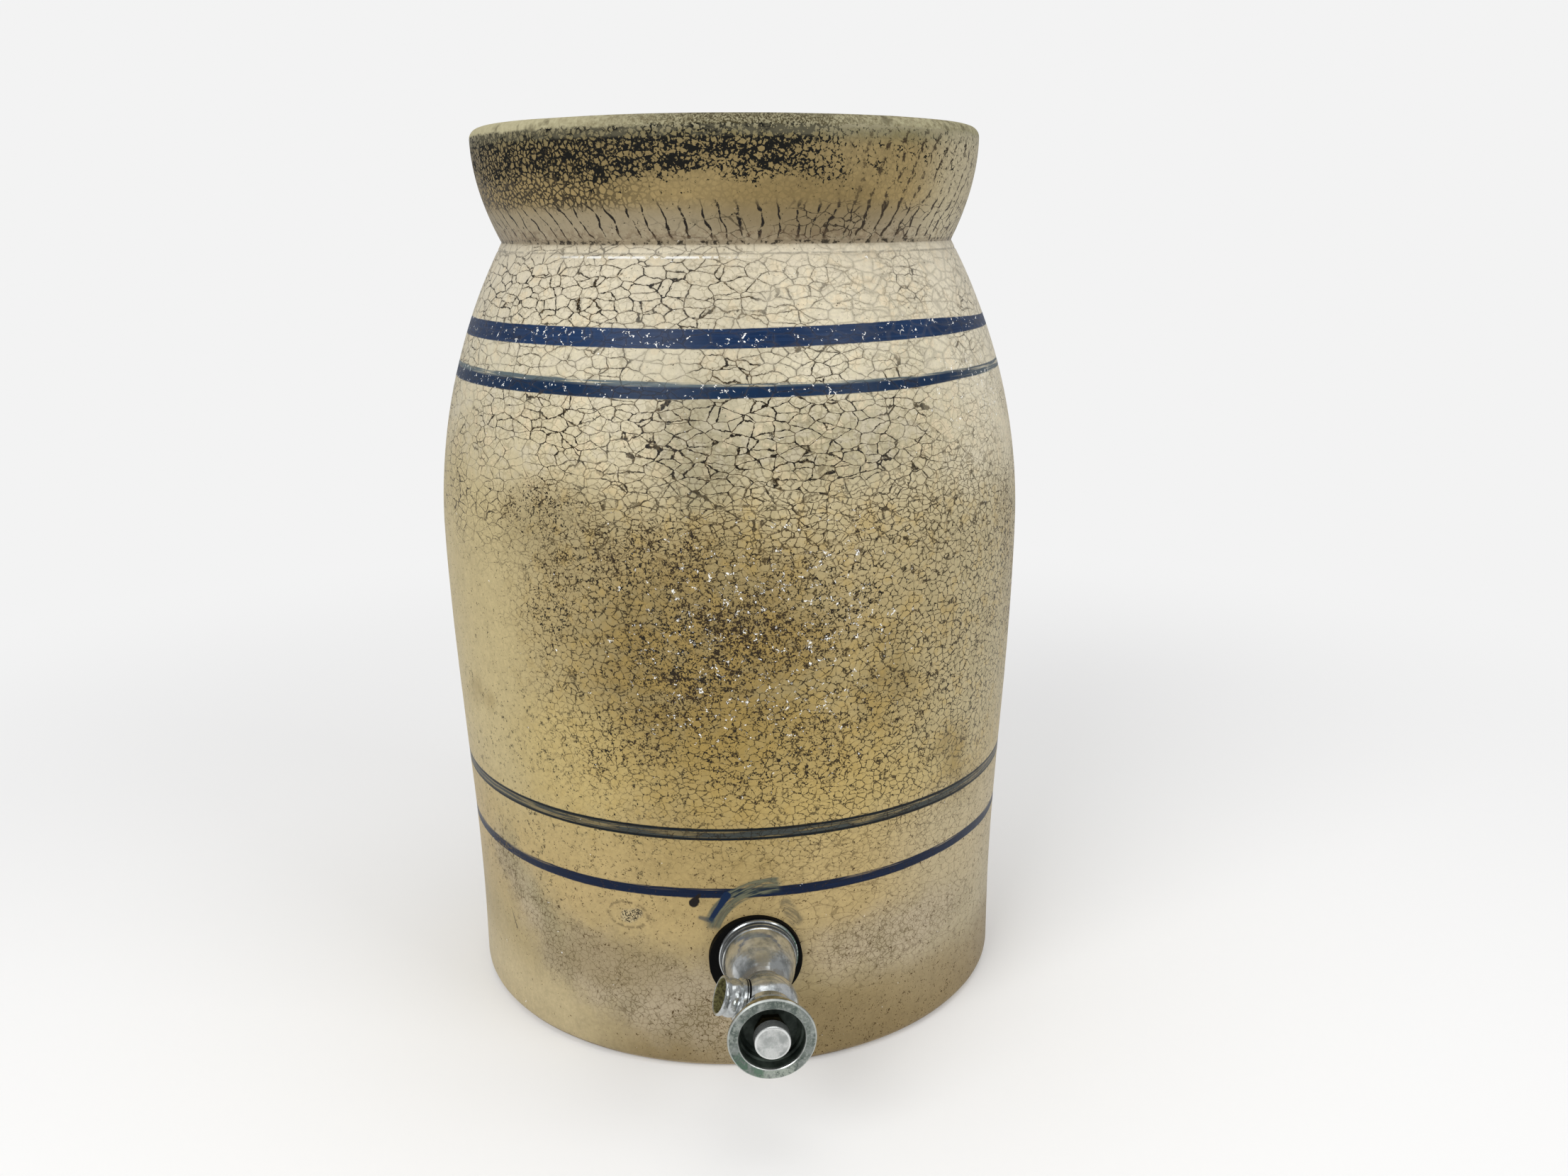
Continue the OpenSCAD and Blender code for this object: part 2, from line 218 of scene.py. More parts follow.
class Value:
    """A number, colour or vector that varies over a surface. Sums on it add the nodes for them."""

    def __init__(self, paint, socket):
        self.paint = paint
        self.socket = socket

    def math(self, operation, *others):
        return self.paint.node("Math", {"operation": operation}, dict(enumerate((self, *others))))

    def __add__(self, other):
        return self.math("ADD", other)

    __radd__ = __add__

    def __sub__(self, other):
        return self.math("SUBTRACT", other)

    def __rsub__(self, other):
        return self.paint.node("Math", {"operation": "SUBTRACT"}, {0: other, 1: self})

    def __mul__(self, other):
        return self.math("MULTIPLY", other)

    def __truediv__(self, other):
        return self.math("DIVIDE", other)

    def __neg__(self):
        return self.math("MULTIPLY", -1)

    def __abs__(self):
        return self.math("ABSOLUTE")

    def most(self, other):
        return self.math("MAXIMUM", other)

    def least(self, other):
        return self.math("MINIMUM", other)

    def smooth(self, low, high):
        """0 at low and 1 at high, with soft ends. Low may be the larger one."""
        return self.paint.node("MapRange", {"interpolation_type": "SMOOTHSTEP"},
                               {"Value": self, "From Min": low, "From Max": high}, "Result")

    def near(self, middle, half, soft):
        """1 within half of the middle, and 0 past half + soft."""
        return abs(self - middle).smooth(half + soft, half)


class Paint:
    """A material of nodes on the object's own coordinates, in millimetres. Colours are 0 to 255."""

    def __init__(self, name):
        self.material = bpy.data.materials.new(name)
        self.material.use_nodes = True
        self.nodes = self.material.node_tree.nodes
        self.links = self.material.node_tree.links
        self.nodes.clear()
        self.shader = self.nodes.new("ShaderNodeBsdfPrincipled")
        output = self.nodes.new("ShaderNodeOutputMaterial")
        self.links.new(self.shader.outputs[0], output.inputs[0])
        place = self.node("TexCoord", {}, {}, "Object")
        self.place = self.node("VectorMath", {"operation": "SCALE"}, {0: place, "Scale": 1 / MM})

    def node(self, kind, settings=None, inputs=None, output=0):
        made = self.nodes.new("ShaderNode" + kind)
        for name, value in (settings or {}).items():
            if name == "stops":
                self.set_stops(made.color_ramp.elements, value)
            else:
                setattr(made, name, value)
        for name, value in (inputs or {}).items():
            if isinstance(value, Value):
                self.links.new(value.socket, made.inputs[name])
            elif made.inputs[name].type == "RGBA" and len(value) == 3:
                made.inputs[name].default_value = srgb(*value)
            else:
                made.inputs[name].default_value = value
        return Value(self, made.outputs[output])

    def set_stops(self, elements, stops):
        for index, (position, colour) in enumerate(stops):
            element = elements[index] if index < 2 else elements.new(position)
            element.position = position
            element.color = srgb(*colour)

    def split(self, vector):
        return [self.node("SeparateXYZ", {}, {0: vector}, i) for i in range(3)]

    def vector(self, operation, a, b):
        return self.node("VectorMath", {"operation": operation}, {0: a, 1: b})

    def noise(self, size, detail=2, roughness=0.5, seed=0, place=None, stretch=(1, 1, 1), output="Fac"):
        """Noise with lumps about as wide as size, in millimetres, and a mean of 0.5."""
        place = self.vector("MULTIPLY_ADD", place or self.place, tuple(s / size for s in stretch))
        place.socket.node.inputs[2].default_value = (17.3 * seed, 9.1 * seed, 5.7 * seed)
        return self.node("TexNoise", {}, {"Vector": place, "Scale": 1, "Detail": detail,
                                          "Roughness": roughness}, output)

    def warped(self, amount, size, detail=2, seed=0, place=None):
        """The place, pushed about at random by up to half the amount."""
        shift = self.noise(size, detail, 0.6, seed, place, output="Color")
        shift = self.vector("SUBTRACT", shift, (0.5, 0.5, 0.5))
        shift = self.node("VectorMath", {"operation": "SCALE"}, {0: shift, "Scale": amount})
        return self.vector("ADD", place or self.place, shift)

    def cell_edges(self, place, size, stretch):
        """Distance, in millimetres, from the edges of cells about as wide as size."""
        scaled = self.vector("MULTIPLY", place, tuple(s / size for s in stretch))
        edges = self.node("TexVoronoi", {"feature": "DISTANCE_TO_EDGE"},
                          {"Vector": scaled, "Scale": 1}, "Distance")
        return edges * size

    def mix(self, mask, colour, other):
        """The colour, covered by the other one where the mask is 1."""
        return self.node("Mix", {"data_type": "RGBA"}, {0: mask, 6: colour, 7: other}, 2)

    def cover(self, mask, colour):
        """Covers what is there with a colour where the mask is 1."""
        self.colour = self.mix(mask, self.colour, colour)

    def shaded(self, colour, amount):
        """The colour times a number that varies."""
        grey = self.node("CombineColor", {}, {0: amount, 1: amount, 2: amount})
        return self.node("Mix", {"data_type": "RGBA", "blend_type": "MULTIPLY"},
                         {0: 1, 6: colour, 7: grey}, 2)

    def finish(self, roughness, height=None, **constants):
        shader = self.shader
        sockets = {"Base Color": self.colour, "Roughness": roughness}
        if height is not None:
            sockets["Normal"] = self.node("Bump", {}, {"Distance": MM, "Height": height})
        for name, value in {**sockets, **constants}.items():
            if isinstance(value, Value):
                self.links.new(value.socket, shader.inputs[name])
            else:
                shader.inputs[name].default_value = value
        return self.material


# ---------------- crock
def ease(u):
    return u * u * (3 - 2 * u)


def lower_wall_r(z):
    return FOOT_R + (BELLY_R - FOOT_R) * ease(max(0, z - UPRIGHT_H) / (BELLY_Z - UPRIGHT_H))


def shoulder_r(z):
    return BELLY_R - SHOULDER_ARC_R + math.sqrt(SHOULDER_ARC_R ** 2 - (z - BELLY_Z) ** 2)


NECK_R = shoulder_r(NECK_Z)
LIP_Z = CROCK_H - LIP_ROUND


def collar_r(z):
    return LIP_R - (LIP_R - NECK_R) * ((LIP_Z - z) / (LIP_Z - NECK_Z)) ** COLLAR_POWER


def crock_outline():
    """Up the outside, over the lip, and down the inside to the floor's centre."""
    throat_r = NECK_R - WALL_T
    inner_foot_r = FOOT_R - WALL_T
    score_low = SCORE_Z - SCORE_HALF
    score_high = SCORE_Z + SCORE_HALF
    outside = [(0, 0)] + [(r, 0) for r in between(0, FOOT_R - HEEL_R, 8)]
    outside += arc_points(FOOT_R - HEEL_R, HEEL_R, HEEL_R, -90, 0, 6)
    outside += [(FOOT_R, z) for z in between(HEEL_R, UPRIGHT_H, 6)] + [(FOOT_R, UPRIGHT_H)]
    outside += [(lower_wall_r(z), z) for z in between(UPRIGHT_H, BELLY_Z, 44)]
    outside += [(shoulder_r(z), z) for z in between(BELLY_Z, score_low, 30)]
    outside += [(shoulder_r(score_low), score_low), (shoulder_r(SCORE_Z) - SCORE_DEPTH, SCORE_Z)]
    outside += [(shoulder_r(score_high), score_high), (NECK_R, NECK_Z)]
    outside += [(collar_r(z), z) for z in between(NECK_Z, LIP_Z, 16)]
    outside += arc_points(LIP_R - LIP_ROUND, LIP_Z, LIP_ROUND, 0, 90, 7)
    mouth_z = CROCK_H - MOUTH_ROUND
    inside = arc_points(MOUTH_R + MOUTH_ROUND, mouth_z, MOUTH_ROUND, 90, 180, 6)
    inside += [(MOUTH_R + (throat_r - MOUTH_R) * u, mouth_z + (NECK_Z - mouth_z) * u)
               for u in between(0, 1, 8)] + [(throat_r, NECK_Z)]
    inside += [(shoulder_r(z) - WALL_T, z) for z in between(NECK_Z, BELLY_Z, 24)]
    inside += [(lower_wall_r(z) - WALL_T, z) for z in between(BELLY_Z, UPRIGHT_H, 30)]
    inside += arc_points(inner_foot_r - CORNER_R, FLOOR_T + CORNER_R, CORNER_R, 0, -90, 6)
    inside += [(r, FLOOR_T) for r in between(inner_foot_r - CORNER_R, 0, 10)] + [(0, FLOOR_T)]
    return outside + inside


def crock_piece():
    crock = turned("thrown_crock", crock_outline(), CROCK_FACETS)
    waves = bpy.data.textures.new("thrown_waves", "CLOUDS")
    waves.noise_scale = 0.055
    modified(crock, "DISPLACE", texture=waves, texture_coords="LOCAL", mid_level=1,
             strength=THROWN_WAVES * MM)
    deselect_all()
    bpy.ops.mesh.primitive_cylinder_add(vertices=96, radius=HOLE_R * MM, depth=3 * WALL_T * MM,
                                        location=TAP_PLACE, rotation=(math.pi / 2, 0, 0))
    drill = named("hole_drill")
    modified(crock, "BOOLEAN", object=drill, operation="DIFFERENCE", solver="EXACT")
    bpy.data.objects.remove(drill)
    smoothed(crock)
    for finish in (outer_glaze(), inner_glaze(), bare_foot()):
        crock.data.materials.append(finish)
    for face in crock.data.polygons:
        outward = Vector((face.center.x, face.center.y, 0)).normalized().dot(face.normal)
        if face.center.z < HEEL_R * MM / 2 and face.normal.z < -0.5:
            face.material_index = 2
        elif outward < -0.05 and face.center.z < (CROCK_H - MOUTH_ROUND) * MM:
            face.material_index = 1
        elif face.center.z < 2 * FLOOR_T * MM and face.normal.z > 0.2:
            face.material_index = 1
    return crock


# ---------------- the glaze
# Colours are red, green and blue as seen on a screen, 0 to 255. Pairs are for the noise to mix.
CRACK_BLACK = (24, 18, 10)
CRACK_BROWN = (72, 56, 32)
CRACK_GREY = (148, 141, 124)
FIRST_BAND = ((14, 40, 74), (48, 76, 118))
FOURTH_BAND = ((0, 20, 48), (12, 44, 86))
SOOT = (12, 12, 8)
CLEAN_TAN = (195, 179, 133)
GREY_TAN = (194, 183, 150)
STAIN_BROWN = (138, 117, 66)
OLIVE = (140, 127, 92)
MOTTLE_GREY = (152, 141, 106)
MOTTLE_GOLD = (188, 160, 92)
SMUDGE_GREY = (146, 138, 108)
PALE_GOLD = (200, 178, 116)
DEEP_GOLD = (176, 148, 76)
PALE_FOOT = (190, 181, 156)
FOOT_DIRT = (140, 122, 86)
MILKY_GREY = (198, 189, 170)
PEACH = (230, 212, 178)
WORN_GREY = (176, 167, 142)
CREAM = (240, 232, 212)
LIGHT_FOOT = (202, 186, 146)
SECOND_BAND = ((12, 40, 70), (104, 116, 116))
THIRD_BAND = ((46, 58, 62), (0, 14, 22))
SOAKED = ((188, 174, 150), (166, 154, 129))
SOAKED_BROWN = (146, 130, 94)
SOAKED_GREEN = (140, 138, 100)
FLECK_GREY = (104, 97, 68)
GRAIN_GREY = (116, 104, 78)
HAIRLINE_BROWN = (108, 94, 66)
SPECKLED_TAN = (146, 119, 62)
SPECKS = ((26, 22, 15), (46, 35, 20))
SPECK_RUST = (82, 62, 36)
SOOTY_TAN = (96, 84, 54)
SMOKED_TAN = (112, 94, 56)
COLLAR_PALE = (192, 181, 150)
COLLAR_BEIGE = (176, 164, 138)
COLLAR_SHADE = (104, 92, 62)
LEANING_BLACK = (26, 20, 14)
LINK_BROWN = (52, 42, 28)
LEDGE_BROWN = (112, 90, 66)
DASH_BROWN = (52, 40, 24)
GROOVE_DIRT = (120, 104, 78)
SCORE_GREY = (140, 134, 120)
# White for the painted highlight line below the collar
PAINTED_SHINE = (250, 249, 244)
# White for the painted glints on crack edges
PAINTED_GLINT = (252, 251, 246)
SMEAR = ((52, 62, 62), (108, 109, 88))
DRIP_BLUE = (12, 36, 68)
DRIP_GREY = (40, 58, 72)
SMUDGE_OLIVE = (104, 97, 76)
BLISTER_PALE = (204, 192, 160)
BLISTER_RING = (104, 90, 62)
BLISTER_BLACK = (26, 20, 16)
BARE_LIP = ((118, 109, 80), (172, 166, 134))
UNDER_LIP = (134, 128, 102)
LIP_PALE = (196, 188, 152)
LIP_DIRT = (72, 65, 44)
CHIP_DARK = (36, 32, 26)
INSIDE = ((178, 164, 128), (206, 196, 168))
TIDE_BROWN = (138, 118, 82)
SCALE_GREY = (132, 116, 86)
BARE_FOOT = ((178, 160, 128), (148, 130, 100))
SCUFF = (104, 92, 74)
FOOT_SPECK = (70, 58, 44)

# Long cracks that lean round the lower collar
LEANING_CRACKS = 92
LEANING_GAP = 7.3

# Glaze colours up the wall, by height in millimetres
WALL_COLOURS = [
    (0, (140, 123, 88)), (18, (158, 141, 104)), (45, (172, 155, 113)),
    (75, (186, 164, 116)), (100, (187, 165, 114)), (150, (182, 163, 113)),
    (205, (176, 158, 113)), (245, (190, 175, 136)), (280, (203, 192, 161)),
    (306, (211, 202, 175)), (340, (216, 206, 181)), (349.5, (214, 204, 180)),
    (352.5, (150, 137, 112)), (362, (146, 132, 103)), (369, (158, 137, 91)),
    (388, (152, 133, 90)), (393, (132, 124, 88)), (395.6, (150, 143, 115)),
    (CROCK_H, (166, 160, 130)),
]

# Painted bands from the top: height above the base, and half width
BAND_HEIGHTS = (316.0, 297.1, 113.2, 84.8)
BAND_HALVES = (3.75, 3.5, 2.75, 2.3)

# Sizes of the cells that the cracks make
WIDE_CELL = 7.4
CLOSE_CELL = 3.6
FINE_CELL = 2.6
NET_CELL = 2.5

# The brushed ring round the tap, and the painted highlight line on the shoulder
SMEAR_MIDDLE = (6, 62)
SMEAR_R = 26.6
SHINE_Z = 346.4

# Oval patches: degrees round the wall, height, half sizes in degrees and height, softness, strength
STAINS = [(-9, 190, 21, 52, 0.5, 1), (-9, 104, 14, 34, 0.6, 0.4)]
OLIVE_PATCHES = [(-8.2, 214, 12, 13, 0.5, 1), (-33, 240, 16, 16, 0.6, 0.8)]
SMUDGES = [(-9, 276, 7, 24, 0.5, 1), (14, 276, 16, 16, 0.6, 0.7)]
GOLDEN_PATCHES = [(-34, 140, 14, 26, 0.5, 1), (22, 128, 20, 14, 0.6, 0.7)]
SOAKED_PATCHES = [(29, 52, 20, 15, 0.6, 1), (-140, 60, 24, 20, 0.6, 1), (116, 40, 28, 16, 0.6, 1)]
WORN_PATCHES = [(-42, 338, 42, 22, 0.4, 1), (2, 276, 32, 26, 0.4, 1)]
DENSE_SPECKS = [
    (-38.8, 247, 10, 14, 0.5, 1), (-28, 226, 13, 11, 0.5, 0.9), (-14, 232, 12, 18, 0.5, 1),
    (-18, 182, 12, 18, 0.5, 0.7), (5, 208, 16, 30, 0.5, 1), (-14, 158, 15, 18, 0.5, 0.9),
    (-10, 194, 14, 24, 0.5, 1.3), (4, 150, 17, 24, 0.5, 0.9), (22, 164, 16, 22, 0.5, 0.7),
]


class Wall:
    """Places on the crock's wall: degrees round it from the tap, and millimetres above the base."""

    def __init__(self, paint):
        self.paint = paint
        x, y, self.z = paint.split(paint.place)
        self.turn = paint.node("Math", {"operation": "ARCTAN2"}, {0: x, 1: -y})
        self.az = self.turn * (180 / math.pi)
        self.run = self.turn * WALL_FACE
        self.ragged = paint.noise(14, 4, 0.6, seed=3) - 0.5
        self.wobble = paint.noise(26, 1, 0.5, seed=4) - 0.5

    def patch(self, az, z, half_az, half_z, soft=0.5, rough=0.6):
        """An oval patch with an uneven edge."""
        across = (self.az - az) / half_az
        up = (self.z - z) / half_z
        reach = (across * across + up * up).math("SQRT") + self.ragged * rough
        return reach.smooth(1 + soft, 1 - soft)

    def patches(self, rows):
        """The strongest of several patches at each place."""
        strongest = None
        for az, z, half_az, half_z, soft, strength in rows:
            mask = self.patch(az, z, half_az, half_z, soft) * strength
            strongest = mask if strongest is None else strongest.most(mask)
        return strongest

    def heights(self, low, high, soft):
        """1 between two heights."""
        z = self.z + self.wobble * soft
        return z.smooth(low - soft, low + soft) * z.smooth(high + soft, high - soft)

    def sector(self, low, high, soft):
        """1 between two angles round the wall."""
        return self.az.smooth(low - soft, low + soft) * self.az.smooth(high + soft, high - soft)

    def stroke(self, start, end, half_start, half_end, soft, wander=0):
        """A brush stroke between two (run, height) points, in millimetres."""
        length = math.hypot(end[0] - start[0], end[1] - start[1])
        along_x = (end[0] - start[0]) / length
        along_z = (end[1] - start[1]) / length
        run = self.run - start[0]
        up = self.z - start[1]
        along = (run * along_x + up * along_z).most(0).least(length)
        aside_x = run - along * along_x
        aside_z = up - along * along_z
        aside = (aside_x * aside_x + aside_z * aside_z).math("SQRT") + self.ragged * wander
        half = along * ((half_end - half_start) / length) + half_start
        return (aside - half).smooth(soft, -soft)


def lay_ground(paint, wall):
    """The glaze without its cracks, bands and dirt."""
    height = (wall.z + wall.wobble * wall.z.smooth(352, 320) * 26) / CROCK_H
    stops = [(z / CROCK_H, colour) for z, colour in WALL_COLOURS]
    paint.colour = paint.node("ValToRGB", {"stops": stops}, {"Fac": height})
    blotch = paint.noise(70, 3, 0.55, seed=1)
    mottle = paint.noise(7, 3, 0.6, seed=7)
    grain = paint.noise(1.7, 3, 0.7, seed=6)
    clean = wall.sector(-150, -42, 12) * wall.heights(110, 262, 22)
    body = wall.heights(112, 268, 24) * (1 - clean)
    upper = wall.heights(262, 351, 14)
    stain = wall.patches(STAINS).most(blotch.smooth(0.56, 0.72) * wall.heights(90, 235, 20))
    layers = [
        (clean * 0.75, CLEAN_TAN),
        (wall.sector(36, 150, 14) * wall.heights(120, 280, 30) * 0.65, GREY_TAN),
        (stain * 0.84, STAIN_BROWN),
        (wall.patches(OLIVE_PATCHES) * 0.42, OLIVE),
        (mottle.smooth(0.48, 0.62) * body * 0.35, MOTTLE_GREY),
        (mottle.smooth(0.48, 0.36) * body * 0.35, MOTTLE_GOLD),
        (wall.patches(SMUDGES) * 0.75, SMUDGE_GREY),
        (wall.patches(GOLDEN_PATCHES) * 0.5, PALE_GOLD),
        (wall.patch(2, 140, 24, 26) * 0.35, DEEP_GOLD),
        (wall.sector(30, 110, 12) * wall.heights(20, 112, 14) * 0.52, PALE_FOOT),
        (wall.heights(-20, 36, 12) * wall.sector(-18, 170, 12) * 0.6, FOOT_DIRT),
        (mottle.smooth(0.50, 0.62) * upper * 0.4, MILKY_GREY),
        (mottle.smooth(0.46, 0.38) * upper * 0.5, PEACH),
        (wall.patch(-10, 312, 15, 46) * 0.34, WORN_GREY),
        (wall.sector(42, 110, 12) * wall.heights(250, 351, 16) * 0.36, CREAM),
        (wall.heights(-20, 32, 14) * wall.sector(-150, -31, 12) * 0.7, LIGHT_FOOT),
    ]
    for mask, colour in layers:
        paint.cover(mask, colour)
    paint.colour = paint.shaded(paint.colour, grain * 0.50 + mottle * 0.36 + blotch * 0.22 + 0.47)


def lay_bands(paint, wall):
    """The four bands painted under the glaze. Returns where they are."""
    z = wall.z
    az = wall.az
    edge = paint.noise(3.2, 3, 0.65, seed=9) - 0.5
    hand = paint.noise(60, 1, 0.5, seed=8) - 0.5
    streaks = paint.noise(1, 2, 0.6, seed=10, place=paint.place, stretch=(0.035, 0.035, 1.15))
    joined = az.smooth(176, 112)

    rise = (az.smooth(-10, 40) - az.smooth(45, 75) * 0.5) * joined
    above = z - (rise + BAND_HEIGHTS[0] + hand * 0.5)
    half = BAND_HALVES[0] - az.smooth(32, 72) * joined * 1.15 + edge * 0.5
    first = (abs(above) - half).smooth(0.22, -0.22)
    wash = streaks.smooth(0.42, 0.75) * 0.25 + hand.smooth(0.0, 0.2) * 0.25
    paint.cover(first, paint.mix(wash, *FIRST_BAND))

    dip = (az.smooth(-40, -15) * -0.5 + az.smooth(30, 50) * 0.8) * joined
    above = z - (dip + BAND_HEIGHTS[1] + hand * 0.5)
    thinner = (az.smooth(-32, 18) * 0.95 + az.smooth(18, 66) * 0.75) * joined
    second = (abs(above) - (BAND_HALVES[1] - thinner + edge * 0.45)).smooth(0.25, -0.25)
    washed = above.smooth(0.9, 2.2).most(az.smooth(40, 62) * joined * 0.7)
    second = second * (1 - washed * streaks.smooth(0.5, 0.62) * 0.85)
    paint.cover(second, paint.mix(washed * 0.75, *SECOND_BAND))

    above = z - (hand * 0.5 + BAND_HEIGHTS[2])
    outer = (abs(above) - BAND_HALVES[2] - edge * 0.4).smooth(0.25, -0.25)
    rims = abs(abs(above) - 2.15).smooth(1.0, 0.45)
    third = outer * rims.most(streaks.smooth(0.62, 0.5) * 0.35 + 0.6)
    paint.cover(third, paint.mix(rims.most(streaks.smooth(0.44, 0.52) * 0.6), *THIRD_BAND))

    rise = (az.smooth(-35, 0) * 0.9 + az.smooth(25, 42) * 0.7 - az.smooth(50, 62) * 0.7) * joined
    above = z - (rise + BAND_HEIGHTS[3] + hand * 0.6)
    feather = above.smooth(0.4, 2.6) * streaks.smooth(0.5, 0.66) * 0.7
    fourth = (abs(above) - BAND_HALVES[3] - edge * 0.5).smooth(0.28, -0.28) * (1 - feather)
    paint.cover(fourth, paint.mix(streaks.smooth(0.45, 0.75) * 0.3, *FOURTH_BAND))
    return first.most(second).most(third).most(fourth)


def brush_round_tap(paint, wall):
    """Smears and drips of band colour round the tap."""
    run = wall.run
    ring_x = run - SMEAR_MIDDLE[0]
    ring_z = wall.z - SMEAR_MIDDLE[1]
    sweep = (ring_x * ring_x + ring_z * ring_z).math("SQRT")
    along = paint.node("CombineXYZ", {}, {0: sweep * 1.1, 1: ring_x * 0.12})
    bristles = paint.noise(1, 2, 0.6, seed=20, place=along)
    smear = sweep.near(SMEAR_R, 3.2, 1.1) * run.smooth(-24, -19) * wall.z.smooth(67, 70)
    smear = smear * (run + wall.ragged * 9).smooth(11, 7.5) * (bristles.smooth(0.36, 0.54) * 0.6 + 0.4)
    paint.cover(smear * 0.95, paint.mix(bristles.smooth(0.44, 0.60), *SMEAR))
    paint.cover(wall.stroke((-12.8, 84.5), (-19.6, 73.2), 1.7, 1.0, 0.3, 1.4), DRIP_BLUE)
    paint.cover(wall.stroke((-24.4, 73.8), (-19.6, 72.6), 0.9, 1.3, 0.6, 1.2) * 0.7, DRIP_GREY)
    smudge = wall.stroke((12.5, 79), (16.5, 71), 2.6, 3.0, 1.3, 3)
    paint.cover(smudge * (bristles.smooth(0.42, 0.56) * 0.7 + 0.3) * 0.75, SMUDGE_OLIVE)


def outer_glaze():
    """The outer glaze with its bands, cracks, dirt, soot and bare lip, from the lowest layer up."""
    paint = Paint("stoneware_glaze")
    wall = Wall(paint)
    cover = paint.cover
    patch = wall.patch
    patches = wall.patches
    sector = wall.sector
    heights = wall.heights
    stroke = wall.stroke
    z = wall.z
    az = wall.az
    clusters = paint.noise(24, 3, 0.6, seed=11)
    breaks = paint.noise(2.6, 3, 0.65, seed=12)
    fine_breaks = paint.noise(0.8, 2, 0.7, seed=13)
    blots = paint.noise(5.5, 4, 0.68, seed=16, stretch=(0.7, 0.7, 1.5))
    drifts = paint.noise(64, 3, 0.6, seed=19)
    bent = paint.warped(3.4, 7, 4, seed=14)
    wide = paint.cell_edges(bent, WIDE_CELL, (0.9, 0.9, 1.7))
    close = paint.cell_edges(bent, CLOSE_CELL, (1, 1, 1.25))
    fine_cells = paint.cell_edges(bent, FINE_CELL, (1, 1, 1))
    net_cells = paint.cell_edges(bent, NET_CELL, (1, 1, 1.1))
    crack_colour = paint.mix(breaks.smooth(0.56, 0.40), CRACK_BLACK, CRACK_BROWN)
    shoulder = heights(226, 351, 16)
    left_clean = 1 - sector(-150, -46, 10) * 0.85
    on_collar = z.smooth(351.2, 352.6) * z.smooth(396.0, 393.6)
    worn = patches(WORN_PATCHES)
    thicker = breaks.smooth(0.44, 0.62) * (worn * 0.06 + 0.15)
    wide_line = (wide - thicker).smooth(0.24, 0.04)
    lay_ground(paint, wall)

    # Patches low on the wall where water has soaked under the glaze and left it grey
    diagonal = stroke((-132, 80), (-92, 46), 11, 14, 11, 22)
    along_foot = stroke((-94, 46), (-14, 28), 16, 22, 11, 22)
    grey = diagonal.most(along_foot).most(patches(SOAKED_PATCHES))
    cover(grey * 0.75, paint.mix(clusters.smooth(0.4, 0.6), *SOAKED))
    cover(patch(-30, 46, 15, 13) * 0.55, SOAKED_BROWN)
    cover(stroke((-128, 88), (-96, 56), 6, 6, 10, 14) * 0.35, SOAKED_GREEN)

    painted = lay_bands(paint, wall)
    unpainted = 1 - painted

    # Wide cells on the shoulder and the upper wall, dark on the left and where it is worn
    strength = (clusters.smooth(0.30, 0.62) * 0.75 + 0.25).most(worn)
    above_bands = z.smooth(296, 318)
    dark_side = (az - above_bands * -26).smooth(62, 26) * az.smooth(-175, -150)
    dark_side = dark_side.most(clusters.smooth(0.52, 0.62) * 0.7).most(worn)
    halo = wide.smooth(1.2, 0.2) * z.smooth(272, 312) * shoulder
    cover(halo * (1 - dark_side * 0.4) * 0.34 * (1 - painted * 0.8), CRACK_GREY)
    dark_lines = wide_line * shoulder * strength * (dark_side * 0.85 + 0.15)
    cover(dark_lines * (1 - painted * 0.55), crack_colour)
    low_lines = wide_line * heights(30, 112, 12) * sector(0, 160, 14) * 0.42
    cover(low_lines * unpainted, CRACK_BROWN)

    # Close cells in the middle of the wall, and fine ones with grey flecks low on the left
    close_line = (close - fine_breaks.smooth(0.46, 0.62) * 0.2).smooth(0.24, 0.03)
    middle = patch(16, 200, 62, 100, 0.4)
    middle = middle.most(drifts.smooth(0.44, 0.56) * heights(110, 300, 26) * 0.8)
    middle = middle * (z.smooth(278, 240) * 0.8 + 0.2)
    fragments = close_line * (breaks.smooth(0.40, 0.48) * 0.75 + 0.25) * middle * left_clean
    fragment_colour = paint.mix(fine_breaks.smooth(0.5, 0.6), CRACK_BLACK, crack_colour)
    cover(fragments * 0.95, fragment_colour)
    flecks = sector(-74, -16, 10) * heights(66, 168, 12)
    flecks = flecks * (clusters.smooth(0.42, 0.56) * 0.75 + 0.25)
    flecks = flecks * (fine_breaks * 0.35 + breaks * 0.65).smooth(0.555, 0.58)
    cover(flecks * unpainted * 0.75, FLECK_GREY)
    grain_dots = (fine_breaks * 0.6 + breaks * 0.4).smooth(0.54, 0.58)
    cover(grain_dots * grey * 0.36, GRAIN_GREY)
    hair_lines = close_line * shoulder * clusters.smooth(0.39, 0.53) * unpainted * 0.44
    grey_lines = (fine_cells - breaks.smooth(0.44, 0.62) * 0.08).smooth(0.20, 0.03) * grey
    grey_lines = grey_lines * (clusters.smooth(0.38, 0.56) * 0.5 + 0.5)
    cover(grey_lines.most(hair_lines) * 0.8, HAIRLINE_BROWN)

